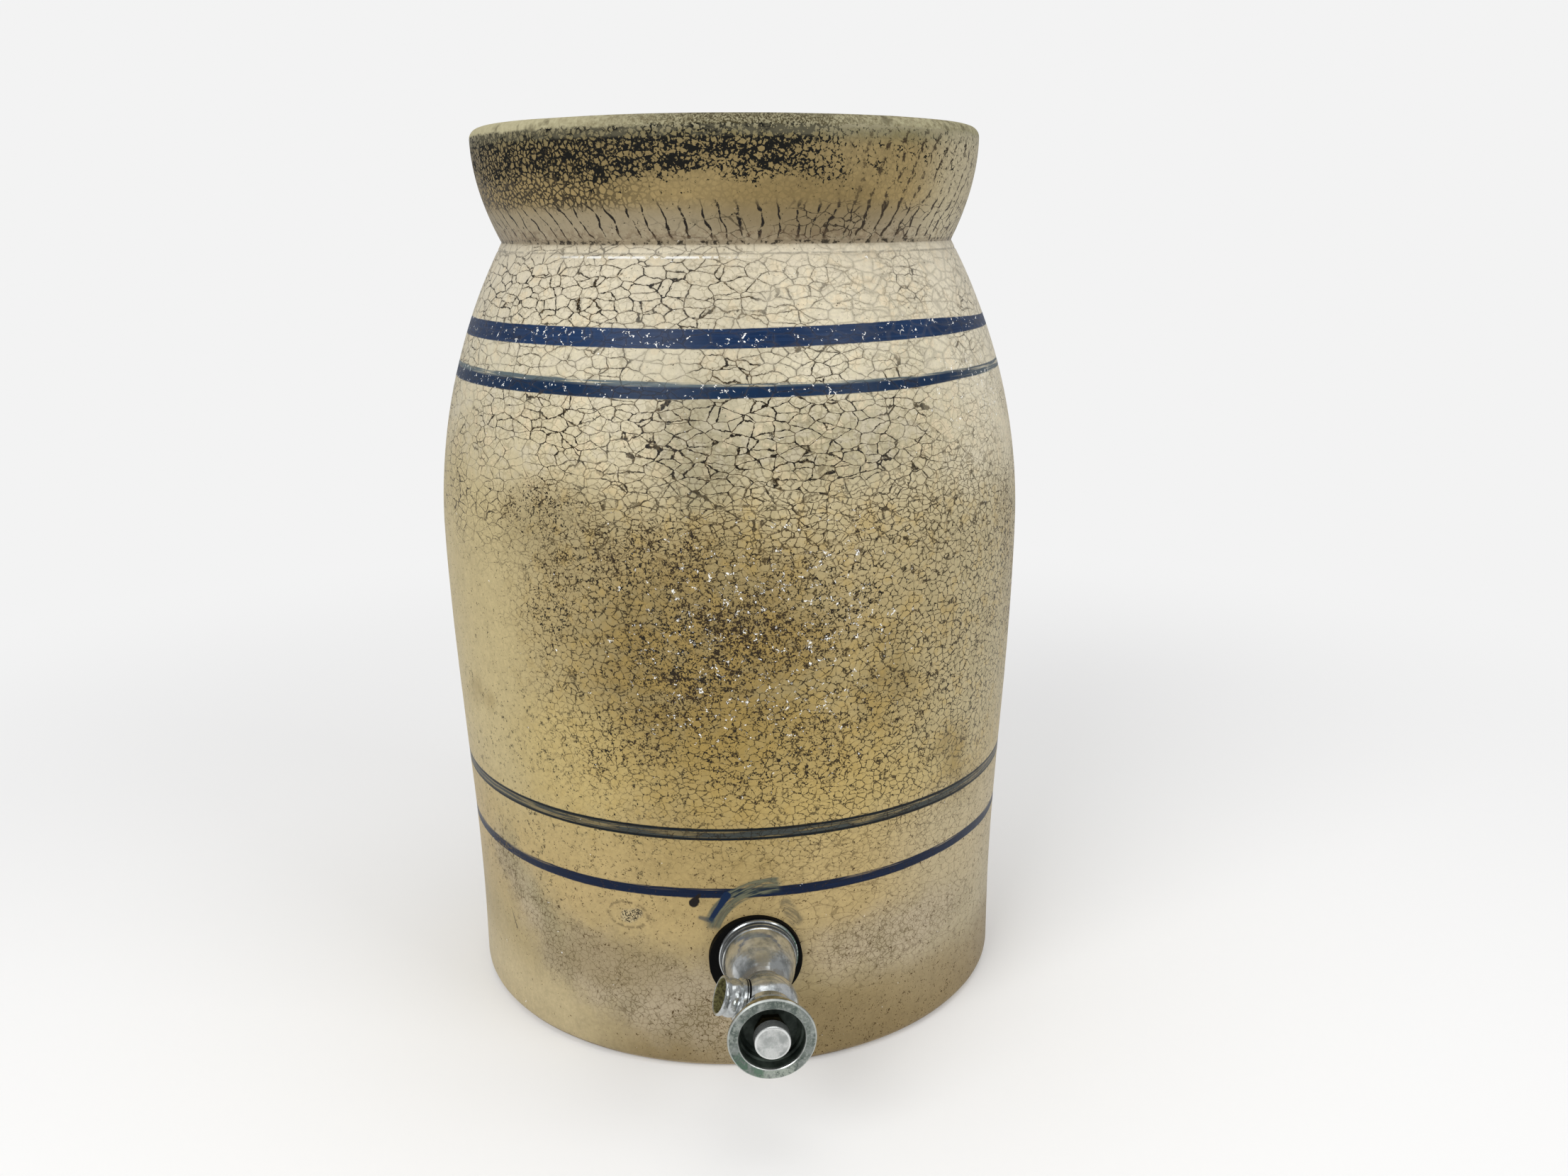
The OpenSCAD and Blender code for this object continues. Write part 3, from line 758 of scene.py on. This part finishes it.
    # Ragged brown specks, densest left of the middle
    dense = patches(DENSE_SPECKS) * (clusters * 1.3 + 0.2)
    behind = drifts.smooth(0.46, 0.64) * heights(120, 262, 24) * 0.8
    sparse = heights(34, 250, 20) * (left_clean * 0.12 + 0.2)
    foot_dirt = heights(-20, 40, 12) * sector(-20, 150, 16) * 0.45
    density = dense.least(1.3).most(behind * left_clean).most(sparse).most(foot_dirt)
    need = 0.655 - density * 0.125 - close.smooth(0.7, 0.1) * 0.025
    specks = (fine_breaks * 0.62 + breaks * 0.38 - need).smooth(0.0, 0.012)
    cover(density * unpainted * 0.22, SPECKLED_TAN)
    speck_colour = paint.mix(clusters.smooth(0.4, 0.6), *SPECKS)
    speck_colour = paint.mix(z.smooth(125, 80), speck_colour, SPECK_RUST)
    cover(specks * (1 - painted * 0.6), speck_colour)

    # Soot and fine crackle on the upper collar, heaviest above the tap and to its left
    sooty_side = az.smooth(-100, -74).least(az.smooth(30, 10))
    sooty_back = paint.noise(60, 2, 0.5, seed=15).smooth(0.5, 0.62) * (1 - sector(-95, 110, 14))
    heaviest = az.smooth(-42, -10) * az.smooth(24, 8)
    side = sooty_side * (heaviest * 0.12 + 0.8)
    reach = (z + wall.wobble * 14 - heaviest * 2).smooth(370, 381)
    density = side.most(sooty_back * 0.55).most(sector(16, 72, 8) * 0.3).most(0.1) * reach
    need = 0.671 - density * 0.162 - net_cells.smooth(0.6, 0.08) * 0.09
    grains = fine_breaks * 0.4 + breaks * 0.33 + blots * 0.27
    soot = (grains - need).smooth(0.0, 0.012) * on_collar.most(z.near(395.2, 1, 0.8))
    cover(density * on_collar * 0.42, SOOTY_TAN)
    cover(patch(12, 366, 20, 12) * on_collar * 0.5, SMOKED_TAN)
    cover(sector(46, 100, 10) * on_collar * 0.8, COLLAR_PALE)
    pale_left = sector(-110, -20, 12) * z.smooth(352, 355) * z.smooth(368, 362)
    cover(pale_left * 0.3, COLLAR_BEIGE)
    darker = sooty_side * az.smooth(0, -34) * on_collar * z.smooth(356, 366)
    cover(darker * 0.12, COLLAR_SHADE)
    net_line = (net_cells - fine_breaks.smooth(0.44, 0.60) * 0.24).smooth(0.34, 0.10)
    net_line = net_line * on_collar * (z + wall.ragged * 8).smooth(363, 368)
    cover(net_line * (sooty_side * az.smooth(-12, -38) * 0.74 + 0.16), CRACK_BLACK)
    cover(soot, SOOT)

    # Long cracks that lean round the lower collar, and rows of dashes up its right side
    lean = (wall.turn - 0.2).math("SINE") * -0.7
    drift = paint.noise(11, 2, 0.5, seed=17) * 9
    phase = az * (LEANING_CRACKS / 360) + ((z - 359) * lean + drift) / LEANING_GAP
    slanted = abs(phase.math("FRACT") - 0.5) * LEANING_GAP
    low_collar = z.smooth(352.5, 354.5) * z.smooth(370, 364)
    slant_line = (slanted - breaks.smooth(0.4, 0.62) * 0.4).smooth(0.38, 0.08) * low_collar
    cover(slant_line * breaks.smooth(0.36, 0.46), LEANING_BLACK)
    links = wide_line * low_collar * clusters.smooth(0.40, 0.50) * az.smooth(-24, 10)
    cover(links, LINK_BROWN)
    ledge = z.near(NECK_Z + 3.2, 1.2, 1.8) * breaks.smooth(0.44, 0.56)
    cover(ledge * 0.35, LEDGE_BROWN)
    dashes = (slanted - 0.4).smooth(0.6, 0.1) * breaks.smooth(0.46, 0.53)
    cover(dashes * on_collar * sector(23, 74, 8) * 0.9, DASH_BROWN)

    # The dirty groove under the collar, the scored line below it and a painted highlight line between them
    groove = z.near(NECK_Z + 0.6, 0.5, 0.7)
    cover(groove * 0.45, GROOVE_DIRT)
    cover(groove * breaks.smooth(0.50, 0.60) * 0.9, CRACK_BLACK)
    cover(z.near(SCORE_Z, 0.15, 0.45) * breaks.smooth(0.36, 0.5) * 0.6, SCORE_GREY)
    # Painted highlight: a thin white line where light would catch the ridge
    painted_shine = z.near(SHINE_Z, 0.2, 0.5) * sector(-42, -4, 8) * breaks.smooth(0.40, 0.46)
    cover(painted_shine * 0.8, PAINTED_SHINE)

    # Painted glints: white flecks on chipped crack edges, standing in for the light they catch
    loose = paint.noise(3.2, 3, 0.6, seed=18)
    area = patch(2, 200, 26, 54, 0.6).most(patch(50, 290, 16, 16))
    area = area.most(painted * z.smooth(250, 290) * 0.9)
    glint_chips = close.smooth(0.42, 0.30) * fine_breaks.smooth(0.53, 0.55)
    cover(glint_chips * (loose - 0.71 + area * 0.14).smooth(0.0, 0.02) * z.smooth(372, 345), PAINTED_GLINT)

    brush_round_tap(paint, wall)

    # A black spot, a torn blister in its ring and a hairline crack
    spot = stroke((-26.9, 80.6), (-26.2, 81.6), 2.0, 1.7, 0.3, 2.6)
    spot = spot.most(stroke((-25.6, 83), (-24.6, 84.4), 0.8, 0.6, 0.3, 1.6))
    burst = stroke((-56.5, 71.2), (-52.2, 73.0), 3.2, 2.2, 0.8, 5)
    cover(burst * 0.3, BLISTER_PALE)
    torn = abs(breaks - 0.5).smooth(0.034, 0.016)
    torn = torn.most((fine_breaks - breaks * 0.3).smooth(0.42, 0.46))
    ring = patch(-25, 71.8, 4.4, 6.4, 0.12, 0.25) * (1 - patch(-25, 71.8, 3.9, 5.6, 0.12, 0.25))
    cover(ring * 0.8 * breaks.smooth(0.4, 0.5), BLISTER_RING)
    hairline = stroke((-131, 52), (-127, 44), 0.2, 0.3, 0.25, 2)
    cover(spot.most(burst * torn).most(hairline * 0.7), BLISTER_BLACK)

    # The bare, chipped lip
    cover(z.near(393.6, 1.3, 1.4) * blots.smooth(0.40, 0.56) * 0.35, UNDER_LIP)
    bare = (z + wall.ragged * 2 + (blots - 0.5) * 4).smooth(395.0, 396.2)
    lip_grain = paint.noise(2.2, 4, 0.75, seed=21)
    lip_colour = paint.mix(lip_grain.smooth(0.28, 0.66), *BARE_LIP)
    lip_colour = paint.mix(sector(-130, -36, 20) * 0.6, lip_colour, LIP_PALE)
    dirt = paint.noise(9, 3, 0.6, seed=22).smooth(0.54, 0.68) * 0.6
    dirt = dirt.most(sector(-20, 24, 14) * (fine_breaks.smooth(0.46, 0.54) * 0.8 + 0.2))
    cover(bare, paint.mix(dirt, lip_colour, LIP_DIRT))
    nicks = (lip_grain * 0.5 + blots * 0.5).smooth(0.64, 0.67) * z.smooth(389, 394)
    cover(nicks, CHIP_DARK)

    rough = 0.28 + breaks * 0.16 + soot * 0.35 + bare * 0.38
    rough = rough + grey * 0.12 + specks * 0.2
    height = breaks * 0.05 - wide_line * shoulder * 0.07
    height = height + lip_grain * bare * 0.2
    return paint.finish(rough, height, **{"Specular IOR Level": 0.18})


def inner_glaze():
    """Cream glaze inside, with a water line and grey-brown scale below it."""
    paint = Paint("stoneware_inside")
    z = paint.split(paint.place)[2]
    drift = paint.noise(45, 3, 0.55, seed=31)
    grain = paint.noise(2.4, 4, 0.7, seed=32)
    bent = paint.warped(4, 8, 2, seed=33)
    cells = paint.cell_edges(bent, 8, (1, 1, 1.2))
    level = z + (drift - 0.5) * 16
    paint.colour = paint.mix(level.smooth(120, 330), *INSIDE)
    tide = level.near(292, 1.5, 4).most(level.near(240, 1, 3) * 0.6).most(level.near(176, 1, 5) * 0.4)
    paint.cover(tide * 0.45, TIDE_BROWN)
    paint.cover(level.smooth(60, 14) * 0.6, SCALE_GREY)
    lines = (cells - grain * 0.4).smooth(0.3, -0.1)
    paint.cover(lines * (drift.smooth(0.3, 0.6) * 0.5 + 0.15), CRACK_BROWN)
    specks = grain.smooth(0.68, 0.72)
    paint.cover(specks * 0.7, CRACK_BROWN)
    paint.colour = paint.shaded(paint.colour, grain * 0.2 + drift * 0.2 + 0.8)
    return paint.finish(0.32 + grain * 0.2 + tide * 0.2, grain * 0.05 - lines * 0.06)


def bare_foot():
    """Unglazed clay under the foot, scuffed where it stands."""
    paint = Paint("stoneware_foot")
    grain = paint.noise(1.4, 5, 0.75, seed=41)
    drift = paint.noise(28, 3, 0.6, seed=42)
    paint.colour = paint.mix(drift.smooth(0.35, 0.65), *BARE_FOOT)
    scuffs = (drift * 0.5 + grain * 0.5).smooth(0.56, 0.62)
    paint.cover(scuffs * 0.6, SCUFF)
    paint.cover(grain.smooth(0.68, 0.72) * 0.8, FOOT_SPECK)
    return paint.finish(0.82 + grain * 0.1, grain * 0.25)


# ---------------- the tap's metals
METAL_SHARE = 0.84
SCRATCH_BRIGHT = (232, 232, 228)
TARNISH_GREEN = (58, 96, 76)
# Grey for painted shade in the hollow behind the bell and under the tap
PAINTED_SHADE = (92, 96, 94)
PLATING_BROWN = (134, 120, 98)
PIT_GREY = (70, 74, 70)
# White for the painted highlight ring on the button's face
RIM_HIGHLIGHT = (236, 238, 236)
# Near black for the painted shade in the flange's grooves
GROOVE_SHADE = (30, 31, 30)
GUARD = ((206, 208, 204), (146, 150, 146))
GUARD_FACE = ((146, 152, 148), (98, 108, 102))
FACE_SPECK = (182, 188, 180)
FACE_CHALK = (176, 184, 172)
VERDIGRIS = (64, 98, 76)
# Pale grey for the painted highlights on the guard's edges
EDGE_HIGHLIGHT = (214, 218, 214)
# Dark tones for the inside of the guard cup, partly painted shade
GUARD_INSIDE_SHADE = ((70, 80, 72), (34, 44, 38))
CUP_PIT = (26, 28, 26)
SPOUT = ((204, 208, 209), (134, 139, 139))
# Dark grey for painted shade in the spout's fine groove
SPOUT_GROOVE_SHADE = (40, 40, 38)
SPOUT_SCALE = ((122, 118, 72), (64, 58, 30))
METAL_PIT = (60, 52, 36)
RUBBER_DUST = (34, 33, 30)
PLATING = ((216, 220, 221), (144, 149, 150))
BUTTON = ((212, 214, 212), (164, 168, 166))
BRASS = ((204, 176, 108), (158, 128, 70))
# Dark brass for the gland nut: tarnish, darkened further as painted shade
SHADED_OLD_BRASS = ((74, 68, 46), (40, 40, 30))
ZINC = ((186, 188, 184), (142, 144, 140))
WIRE = ((176, 178, 178), (120, 122, 122))
RUBBER_BLACK = (3, 3, 3)
PACKING_GREY = (44, 44, 44)


class TapSpace:
    """Places on the tap: millimetres out from the wall, and radius and angle round the tap's axis."""

    def __init__(self, paint):
        x, y, z = paint.split(paint.place)
        self.x = x
        self.up = z - TAP_Z
        self.out = -y - WALL_FACE
        self.radius = (x * x + self.up * self.up).math("SQRT")
        self.angle = paint.node("Math", {"operation": "ARCTAN2"}, {0: self.up, 1: x}) * (180 / math.pi)


def worn_chrome(name, tones, tarnish_and_shade, base_rough, pitted=0.0, highlight_rim_r=0.0):
    """Bright plating, grey in patches partly from duller plating and partly as painted reflections, with
    green tarnishing in the corners, painted shade and painted highlights.
    """
    paint = Paint(name)
    tap = TapSpace(paint)
    cloud = paint.noise(7, 4, 0.62, seed=51)
    fine = paint.noise(1.1, 4, 0.7, seed=52)
    pits = paint.noise(0.55, 3, 0.7, seed=53)
    scratch_place = paint.vector("MULTIPLY", paint.warped(0.8, 5, 1, seed=54), (1.9, 0.16, 0.5))
    scratches = paint.noise(1, 3, 0.7, seed=55, place=scratch_place).smooth(0.60, 0.68)
    # Light and dark tones mixed by noise: duller patches, and painted reflections for the chrome's bright
    # and dark areas
    dull_and_reflected = cloud.smooth(0.40, 0.66)
    paint.colour = paint.mix(dull_and_reflected, *tones)
    paint.cover(scratches * 0.35, SCRATCH_BRIGHT)
    corner = tap.out.near(4.2, 1.6, 1.2) * tap.x.smooth(6, 14) * fine.smooth(0.40, 0.52)
    seam = tap.out.near(60.5, 1.0, 2.0) * fine.smooth(0.46, 0.60) * 0.3
    low_left = tap.angle.near(-122, 26, 20) * tap.out.smooth(62, 66)
    low_left = low_left * (fine * 0.6 + cloud * 0.4).smooth(0.47, 0.56)
    green = corner.most(seam).most(low_left * 0.8) * tarnish_and_shade
    paint.cover(green, TARNISH_GREEN)
    # Painted shade: darker in the hollow between the bell and the ball, and on the tap's underside, scaled
    # by the same share as the green
    painted_shade = tap.out.near(28.5, 2.0, 5.0).most(tap.up.smooth(0, -13) * tap.out.smooth(52, 46)) * tarnish_and_shade
    paint.cover(painted_shade * 0.45, PAINTED_SHADE)
    brown = tap.out.near(31, 1.6, 2.0) * cloud.smooth(0.3, 0.6) * 0.45
    paint.cover(brown, PLATING_BROWN)
    marks = pits.smooth(0.68, 0.73) * (pitted + 0.25)
    paint.cover(marks.least(1), PIT_GREY)
    # Painted highlight: a bright ring round the face at the given radius
    rim_highlight = tap.radius.near(highlight_rim_r, 0.2, 0.35)
    paint.cover(rim_highlight * 0.8, RIM_HIGHLIGHT)
    # Painted shade: two dark rings in the grooves between the flange's rings
    groove_shade = (tap.out.near(7.4, 0.4, 0.3)).most(tap.out.near(5.6, 0.35, 0.3)) * 0.9
    paint.cover(groove_shade, GROOVE_SHADE)
    rough = base_rough + dull_and_reflected * 0.14 + fine * 0.08 + green * 0.4 + scratches * 0.06
    metal = METAL_SHARE - green * 0.8 - brown * 0.3 - groove_shade * 0.4
    height = fine * 0.008 + scratches * 0.010 - marks * 0.04 + cloud * 0.012
    return paint.finish(rough, height, Metallic=metal)


def guard_metal():
    """The guard's grey-green face with painted highlights along both edges, and its dark inside with
    painted shade.
    """
    paint = Paint("guard_plating")
    tap = TapSpace(paint)
    cloud = paint.noise(5, 4, 0.65, seed=61)
    fine = paint.noise(1.0, 4, 0.72, seed=62)
    front = tap.out.smooth(66.2, 66.7)
    face = front * tap.radius.smooth(13.0, 13.4)
    # Light and dark tones mixed by noise, partly painted reflections as on the tap body
    paint.colour = paint.mix(cloud.smooth(0.38, 0.64), *GUARD)
    face_colour = paint.mix(cloud.smooth(0.36, 0.62), *GUARD_FACE)
    face_colour = paint.mix(fine.smooth(0.46, 0.64) * 0.6, face_colour, FACE_SPECK)
    whitish = tap.angle.near(-88, 22, 16) * fine.smooth(0.38, 0.5)
    verdigris = tap.angle.near(-128, 22, 14) * (fine * 0.6 + cloud * 0.4).smooth(0.46, 0.56)
    face_colour = paint.mix(whitish * 0.7, face_colour, FACE_CHALK)
    face_colour = paint.mix(verdigris * 0.85, face_colour, VERDIGRIS)
    paint.cover(face, face_colour)
    # Painted highlights: thin bright lines along the face's outer and inner edges
    edges = tap.radius.near(17.0, 0.15, 0.3).most(tap.radius.near(13.1, 0.12, 0.22)) * front
    paint.cover(edges * 0.7, EDGE_HIGHLIGHT)
    # The cup's inside: painted shade in the recess, on a rougher, less metallic finish
    inside = tap.out.smooth(57, 58) * tap.radius.smooth(13.05, 12.9)
    inside_shade_colour = paint.mix(cloud.smooth(0.34, 0.66), *GUARD_INSIDE_SHADE)
    paint.cover(inside, inside_shade_colour)
    pits = fine.smooth(0.70, 0.74)
    paint.cover(pits * 0.8, CUP_PIT)
    rough = 0.16 + face * 0.26 + inside * 0.3 + fine * 0.12 + verdigris * face * 0.3
    metal = 1 - face * (verdigris * 0.8 + whitish * 0.4) - inside * 0.55
    height = fine * 0.03 * (face + 0.3) + cloud * 0.012 - pits * 0.05
    return paint.finish(rough, height, Metallic=metal)


def spout_metal():
    """As the tap body, with painted reflections, painted shade in a fine groove, and a yellow-brown scale
    inside the outlet.
    """
    paint = Paint("spout_plating")
    cloud = paint.noise(5, 4, 0.62, seed=71)
    fine = paint.noise(1.0, 4, 0.7, seed=72)
    x, y, z = paint.split(paint.place)
    x = x - BALL.x
    y = y - BALL.y
    z = z - BALL.z
    out = x * SPOUT_AXIS.x + y * SPOUT_AXIS.y + z * SPOUT_AXIS.z
    radius = (x * x + y * y + z * z - out * out).most(0).math("SQRT")
    inside = radius.smooth(7.1, 6.85) * out.smooth(13, 13.4)
    # Light and dark tones mixed by noise, partly painted reflections as on the tap body
    paint.colour = paint.mix(cloud.smooth(0.38, 0.68), *SPOUT)
    # Painted shade: a dark ring in the fine groove of the collar
    groove = out.near(11.25, 0.2, 0.25)
    paint.cover(groove * 0.8, SPOUT_GROOVE_SHADE)
    scale = paint.mix(fine.smooth(0.4, 0.62), *SPOUT_SCALE)
    paint.cover(inside, scale)
    rough = 0.08 + cloud * 0.14 + fine * 0.08 + inside * 0.4
    height = fine * 0.010 + cloud * 0.010 + inside * fine * 0.2
    return paint.finish(rough, height, Metallic=METAL_SHARE - inside * 0.8)


def plain_metal(name, tones, rough, lathe=0.4):
    """Turned metal with faint tool marks round the tap's axis."""
    paint = Paint(name)
    tap = TapSpace(paint)
    cloud = paint.noise(6, 4, 0.6, seed=81)
    fine = paint.noise(0.8, 3, 0.7, seed=82)
    round_axis = paint.node("CombineXYZ", {}, {0: tap.radius * 3, 1: tap.out * 3})
    rings = paint.noise(1, 2, 0.6, seed=83, place=round_axis)
    paint.colour = paint.mix(cloud.smooth(0.36, 0.66), *tones)
    paint.cover(fine.smooth(0.66, 0.72) * 0.5, METAL_PIT)
    height = rings * 0.03 * lathe + fine * 0.01
    return paint.finish(rough + cloud * 0.18, height, Metallic=1)


def rubber(name, black):
    """Black rubber, dusty and a little shiny where it is squeezed out."""
    paint = Paint(name)
    dust = paint.noise(1.2, 4, 0.7, seed=91)
    cloud = paint.noise(9, 2, 0.5, seed=92)
    paint.colour = paint.mix(dust.smooth(0.60, 0.72) * 0.35, black, RUBBER_DUST)
    rough = 0.55 + cloud * 0.2 + dust * 0.1
    return paint.finish(rough, dust * 0.03, **{"Specular IOR Level": 0.1})


# ---------------- return spring
def tap_matrix():
    """Turns the tap's own axis, +Z from the outer wall, to where the frame has it."""
    return Matrix.Translation(TAP_PLACE) @ Matrix.Rotation(math.pi / 2, 4, "X")


def spring_piece():
    """The return spring: a wire circle wound along its own axis and closed at both ends."""
    low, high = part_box("return_spring")
    back = (-high.y) / MM - WALL_FACE + SPRING_WIRE_R
    front = (-low.y) / MM - WALL_FACE - SPRING_WIRE_R
    deselect_all()
    bpy.ops.mesh.primitive_circle_add(vertices=12, radius=SPRING_WIRE_R * MM, fill_type="NOTHING",
                                      location=(SPRING_R * MM, 0, back * MM), rotation=(math.pi / 2, 0, 0))
    spring = named("coiled_spring")
    bpy.ops.object.transform_apply(location=True, rotation=True, scale=True)
    modified(spring, "SCREW", axis="Z", angle=2 * math.pi * SPRING_TURNS, steps=SPRING_STEPS * SPRING_TURNS,
             render_steps=SPRING_STEPS * SPRING_TURNS, screw_offset=(front - back) * MM, iterations=1)
    bpy.ops.object.mode_set(mode="EDIT")
    bpy.ops.mesh.select_all(action="SELECT")
    bpy.ops.mesh.fill_holes(sides=0)
    bpy.ops.mesh.select_all(action="SELECT")
    bpy.ops.mesh.normals_make_consistent(inside=False)
    bpy.ops.object.mode_set(mode="OBJECT")
    placed(spring, tap_matrix())
    return smoothed(spring, 60)


# ---------------- put together
def finish_nodes():
    """Gives each node that stays its own finish."""
    bright = worn_chrome("tap_plating", PLATING, 1.0, 0.08)
    button = worn_chrome("button_plating", BUTTON, 0.25, 0.2, 0.8, BUTTON_RIM_R)
    brass = plain_metal("turned_brass", BRASS, 0.26)
    steel = plain_metal("zinc_sheet", ZINC, 0.34, lathe=0.1)
    # The gland nut's brass is darkened beyond its tarnish as painted shade inside the guard cup
    tarnished_and_shaded = plain_metal("shaded_tarnished_brass", SHADED_OLD_BRASS, 0.45)
    outer_rubber = rubber("washer_rubber", RUBBER_BLACK)
    packing = rubber("graphite_packing", PACKING_GREY)
    finishes = {
        "tap_body": bright, "spout": spout_metal(), "guard_cup": guard_metal(), "push_button": button,
        "lock_nut": brass, "valve_seat": brass, "packing_follower": brass, "gland_nut": tarnished_and_shaded,
        "valve_stem": brass, "disc_holder": brass, "disc_nut": brass, "backing_washer": steel,
        "outer_rubber_washer": outer_rubber, "inner_rubber_washer": outer_rubber,
        "spout_gasket": outer_rubber, "bonnet_gasket": outer_rubber, "valve_disc": outer_rubber,
        "stem_packing": packing,
    }
    for node, finish in finishes.items():
        piece = frame["nodes"][node]
        piece.data.materials.clear()
        piece.data.materials.append(finish)


crock = crock_piece()
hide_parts("crock")
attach(crock, "crock_body")

finish_nodes()

spring = spring_piece()
spring.data.materials.append(plain_metal("spring_wire", WIRE, 0.25, lathe=0))
spring_length = (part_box("return_spring")[1].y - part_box("return_spring")[0].y) / MM
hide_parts("return_spring")
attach(spring, "tap")
(spring_length - PRESS) / spring_length
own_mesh(spring)


# ---------------- stage, lamps and camera
def floor():
    """A wide pale floor that takes the object's shadow and fades into the backdrop."""
    deselect_all()
    bpy.ops.mesh.primitive_circle_add(vertices=96, radius=FLOOR_R, fill_type="NGON", location=(0, 0, 0))
    piece = named("studio_floor")
    paint = Paint("floor_paint")
    x, y = paint.split(paint.place)[:2]
    far = (x * x + y * y).math("SQRT").smooth(*FLOOR_FADE)
    seen = paint.node("LightPath", {}, {}, "Is Camera Ray")
    paint.colour = (FLOOR_GREY, FLOOR_GREY, FLOOR_GREY, 1)
    paint.finish(0.9)
    glow = paint.node("Emission", {}, {"Color": (BACKDROP, BACKDROP, BACKDROP, 1), "Strength": 1})
    lift = paint.node("Emission", {}, {"Color": (1, 1, 1, 1), "Strength": FLOOR_LIFT})
    plain = Value(paint, paint.shader.outputs[0])
    lifted = paint.node("AddShader", {}, {0: plain, 1: lift})
    lit = paint.node("MixShader", {}, {0: seen, 1: plain, 2: lifted})
    mixed = paint.node("MixShader", {}, {0: far * seen, 1: lit, 2: glow})
    output = [node for node in paint.nodes if node.type == "OUTPUT_MATERIAL"][0]
    paint.links.new(mixed.socket, output.inputs[0])
    piece.data.materials.append(paint.material)


def world():
    """The backdrop as the camera sees it, and a weaker, even light from all round."""
    made = bpy.data.worlds.new("studio")
    made.use_nodes = True
    nodes = made.node_tree.nodes
    links = made.node_tree.links
    path = nodes.new("ShaderNodeLightPath")
    seen = nodes.new("ShaderNodeMath")
    seen.operation = "MAXIMUM"
    links.new(path.outputs["Is Camera Ray"], seen.inputs[0])
    links.new(path.outputs["Is Transmission Ray"], seen.inputs[1])
    strength = nodes.new("ShaderNodeMapRange")
    strength.inputs["To Min"].default_value = AMBIENT
    strength.inputs["To Max"].default_value = BACKDROP
    links.new(seen.outputs[0], strength.inputs["Value"])
    links.new(strength.outputs["Result"], nodes["Background"].inputs["Strength"])
    nodes["Background"].inputs["Color"].default_value = (1, 1, 1, 1)
    bpy.context.scene.world = made


def aimed(place, aim, axis):
    """The turn that points an axis at the aim."""
    return (Vector(aim) - Vector(place)).to_track_quat(axis, "Y").to_euler()


def lamp(name, place, size, power):
    data = bpy.data.lights.new(name, "AREA")
    data.shape = "RECTANGLE"
    data.size, data.size_y = size
    data.energy = power
    lamp_object = bpy.data.objects.new(name, data)
    bpy.context.scene.collection.objects.link(lamp_object)
    lamp_object.location = place
    lamp_object.rotation_euler = aimed(place, LAMP_AIM, "-Z")


def dark_card(name, place, size):
    """A black card that only shows in reflections, for the dark parts of the plating."""
    deselect_all()
    bpy.ops.mesh.primitive_plane_add(size=1, location=place)
    card = named(name)
    card.scale = (*size, 1)
    card.rotation_euler = aimed(place, CARD_AIM, "Z")
    bpy.ops.object.transform_apply(location=True, rotation=True, scale=True)
    paint = Paint(name + "_cloth")
    grain = paint.noise(40, 2, 0.5, seed=99)
    paint.colour = paint.shaded((CARD_BLACK, CARD_BLACK, CARD_BLACK, 1), grain + 0.5)
    card.data.materials.append(paint.finish(0.9))
    card.visible_camera = False
    card.visible_diffuse = False
    card.visible_shadow = False
    card.visible_transmission = False


def camera():
    data = bpy.data.cameras.new("camera")
    data.sensor_width = SENSOR
    data.lens = CAMERA_LENS
    placed_camera = bpy.data.objects.new("camera", data)
    bpy.context.scene.collection.objects.link(placed_camera)
    sine = math.sin(CAMERA_HEADING)
    cosine = math.cos(CAMERA_HEADING)
    right = Vector((cosine, -sine, 0))
    level = math.cos(CAMERA_PITCH)
    forward = Vector((sine * level, cosine * level, -math.sin(CAMERA_PITCH)))
    up = right.cross(forward)
    facing = Matrix((right, up, -forward)).transposed().to_4x4()
    roll = Matrix.Rotation(CAMERA_ROLL, 4, "Z")
    placed_camera.matrix_world = Matrix.Translation(CAMERA_PLACE) @ facing @ roll
    bpy.context.scene.camera = placed_camera


floor()
world()
for lamp_row in LAMPS:
    lamp(*lamp_row)
for card_row in DARK_CARDS:
    dark_card(*card_row)
camera()
bpy.context.scene.view_settings.view_transform = "Standard"
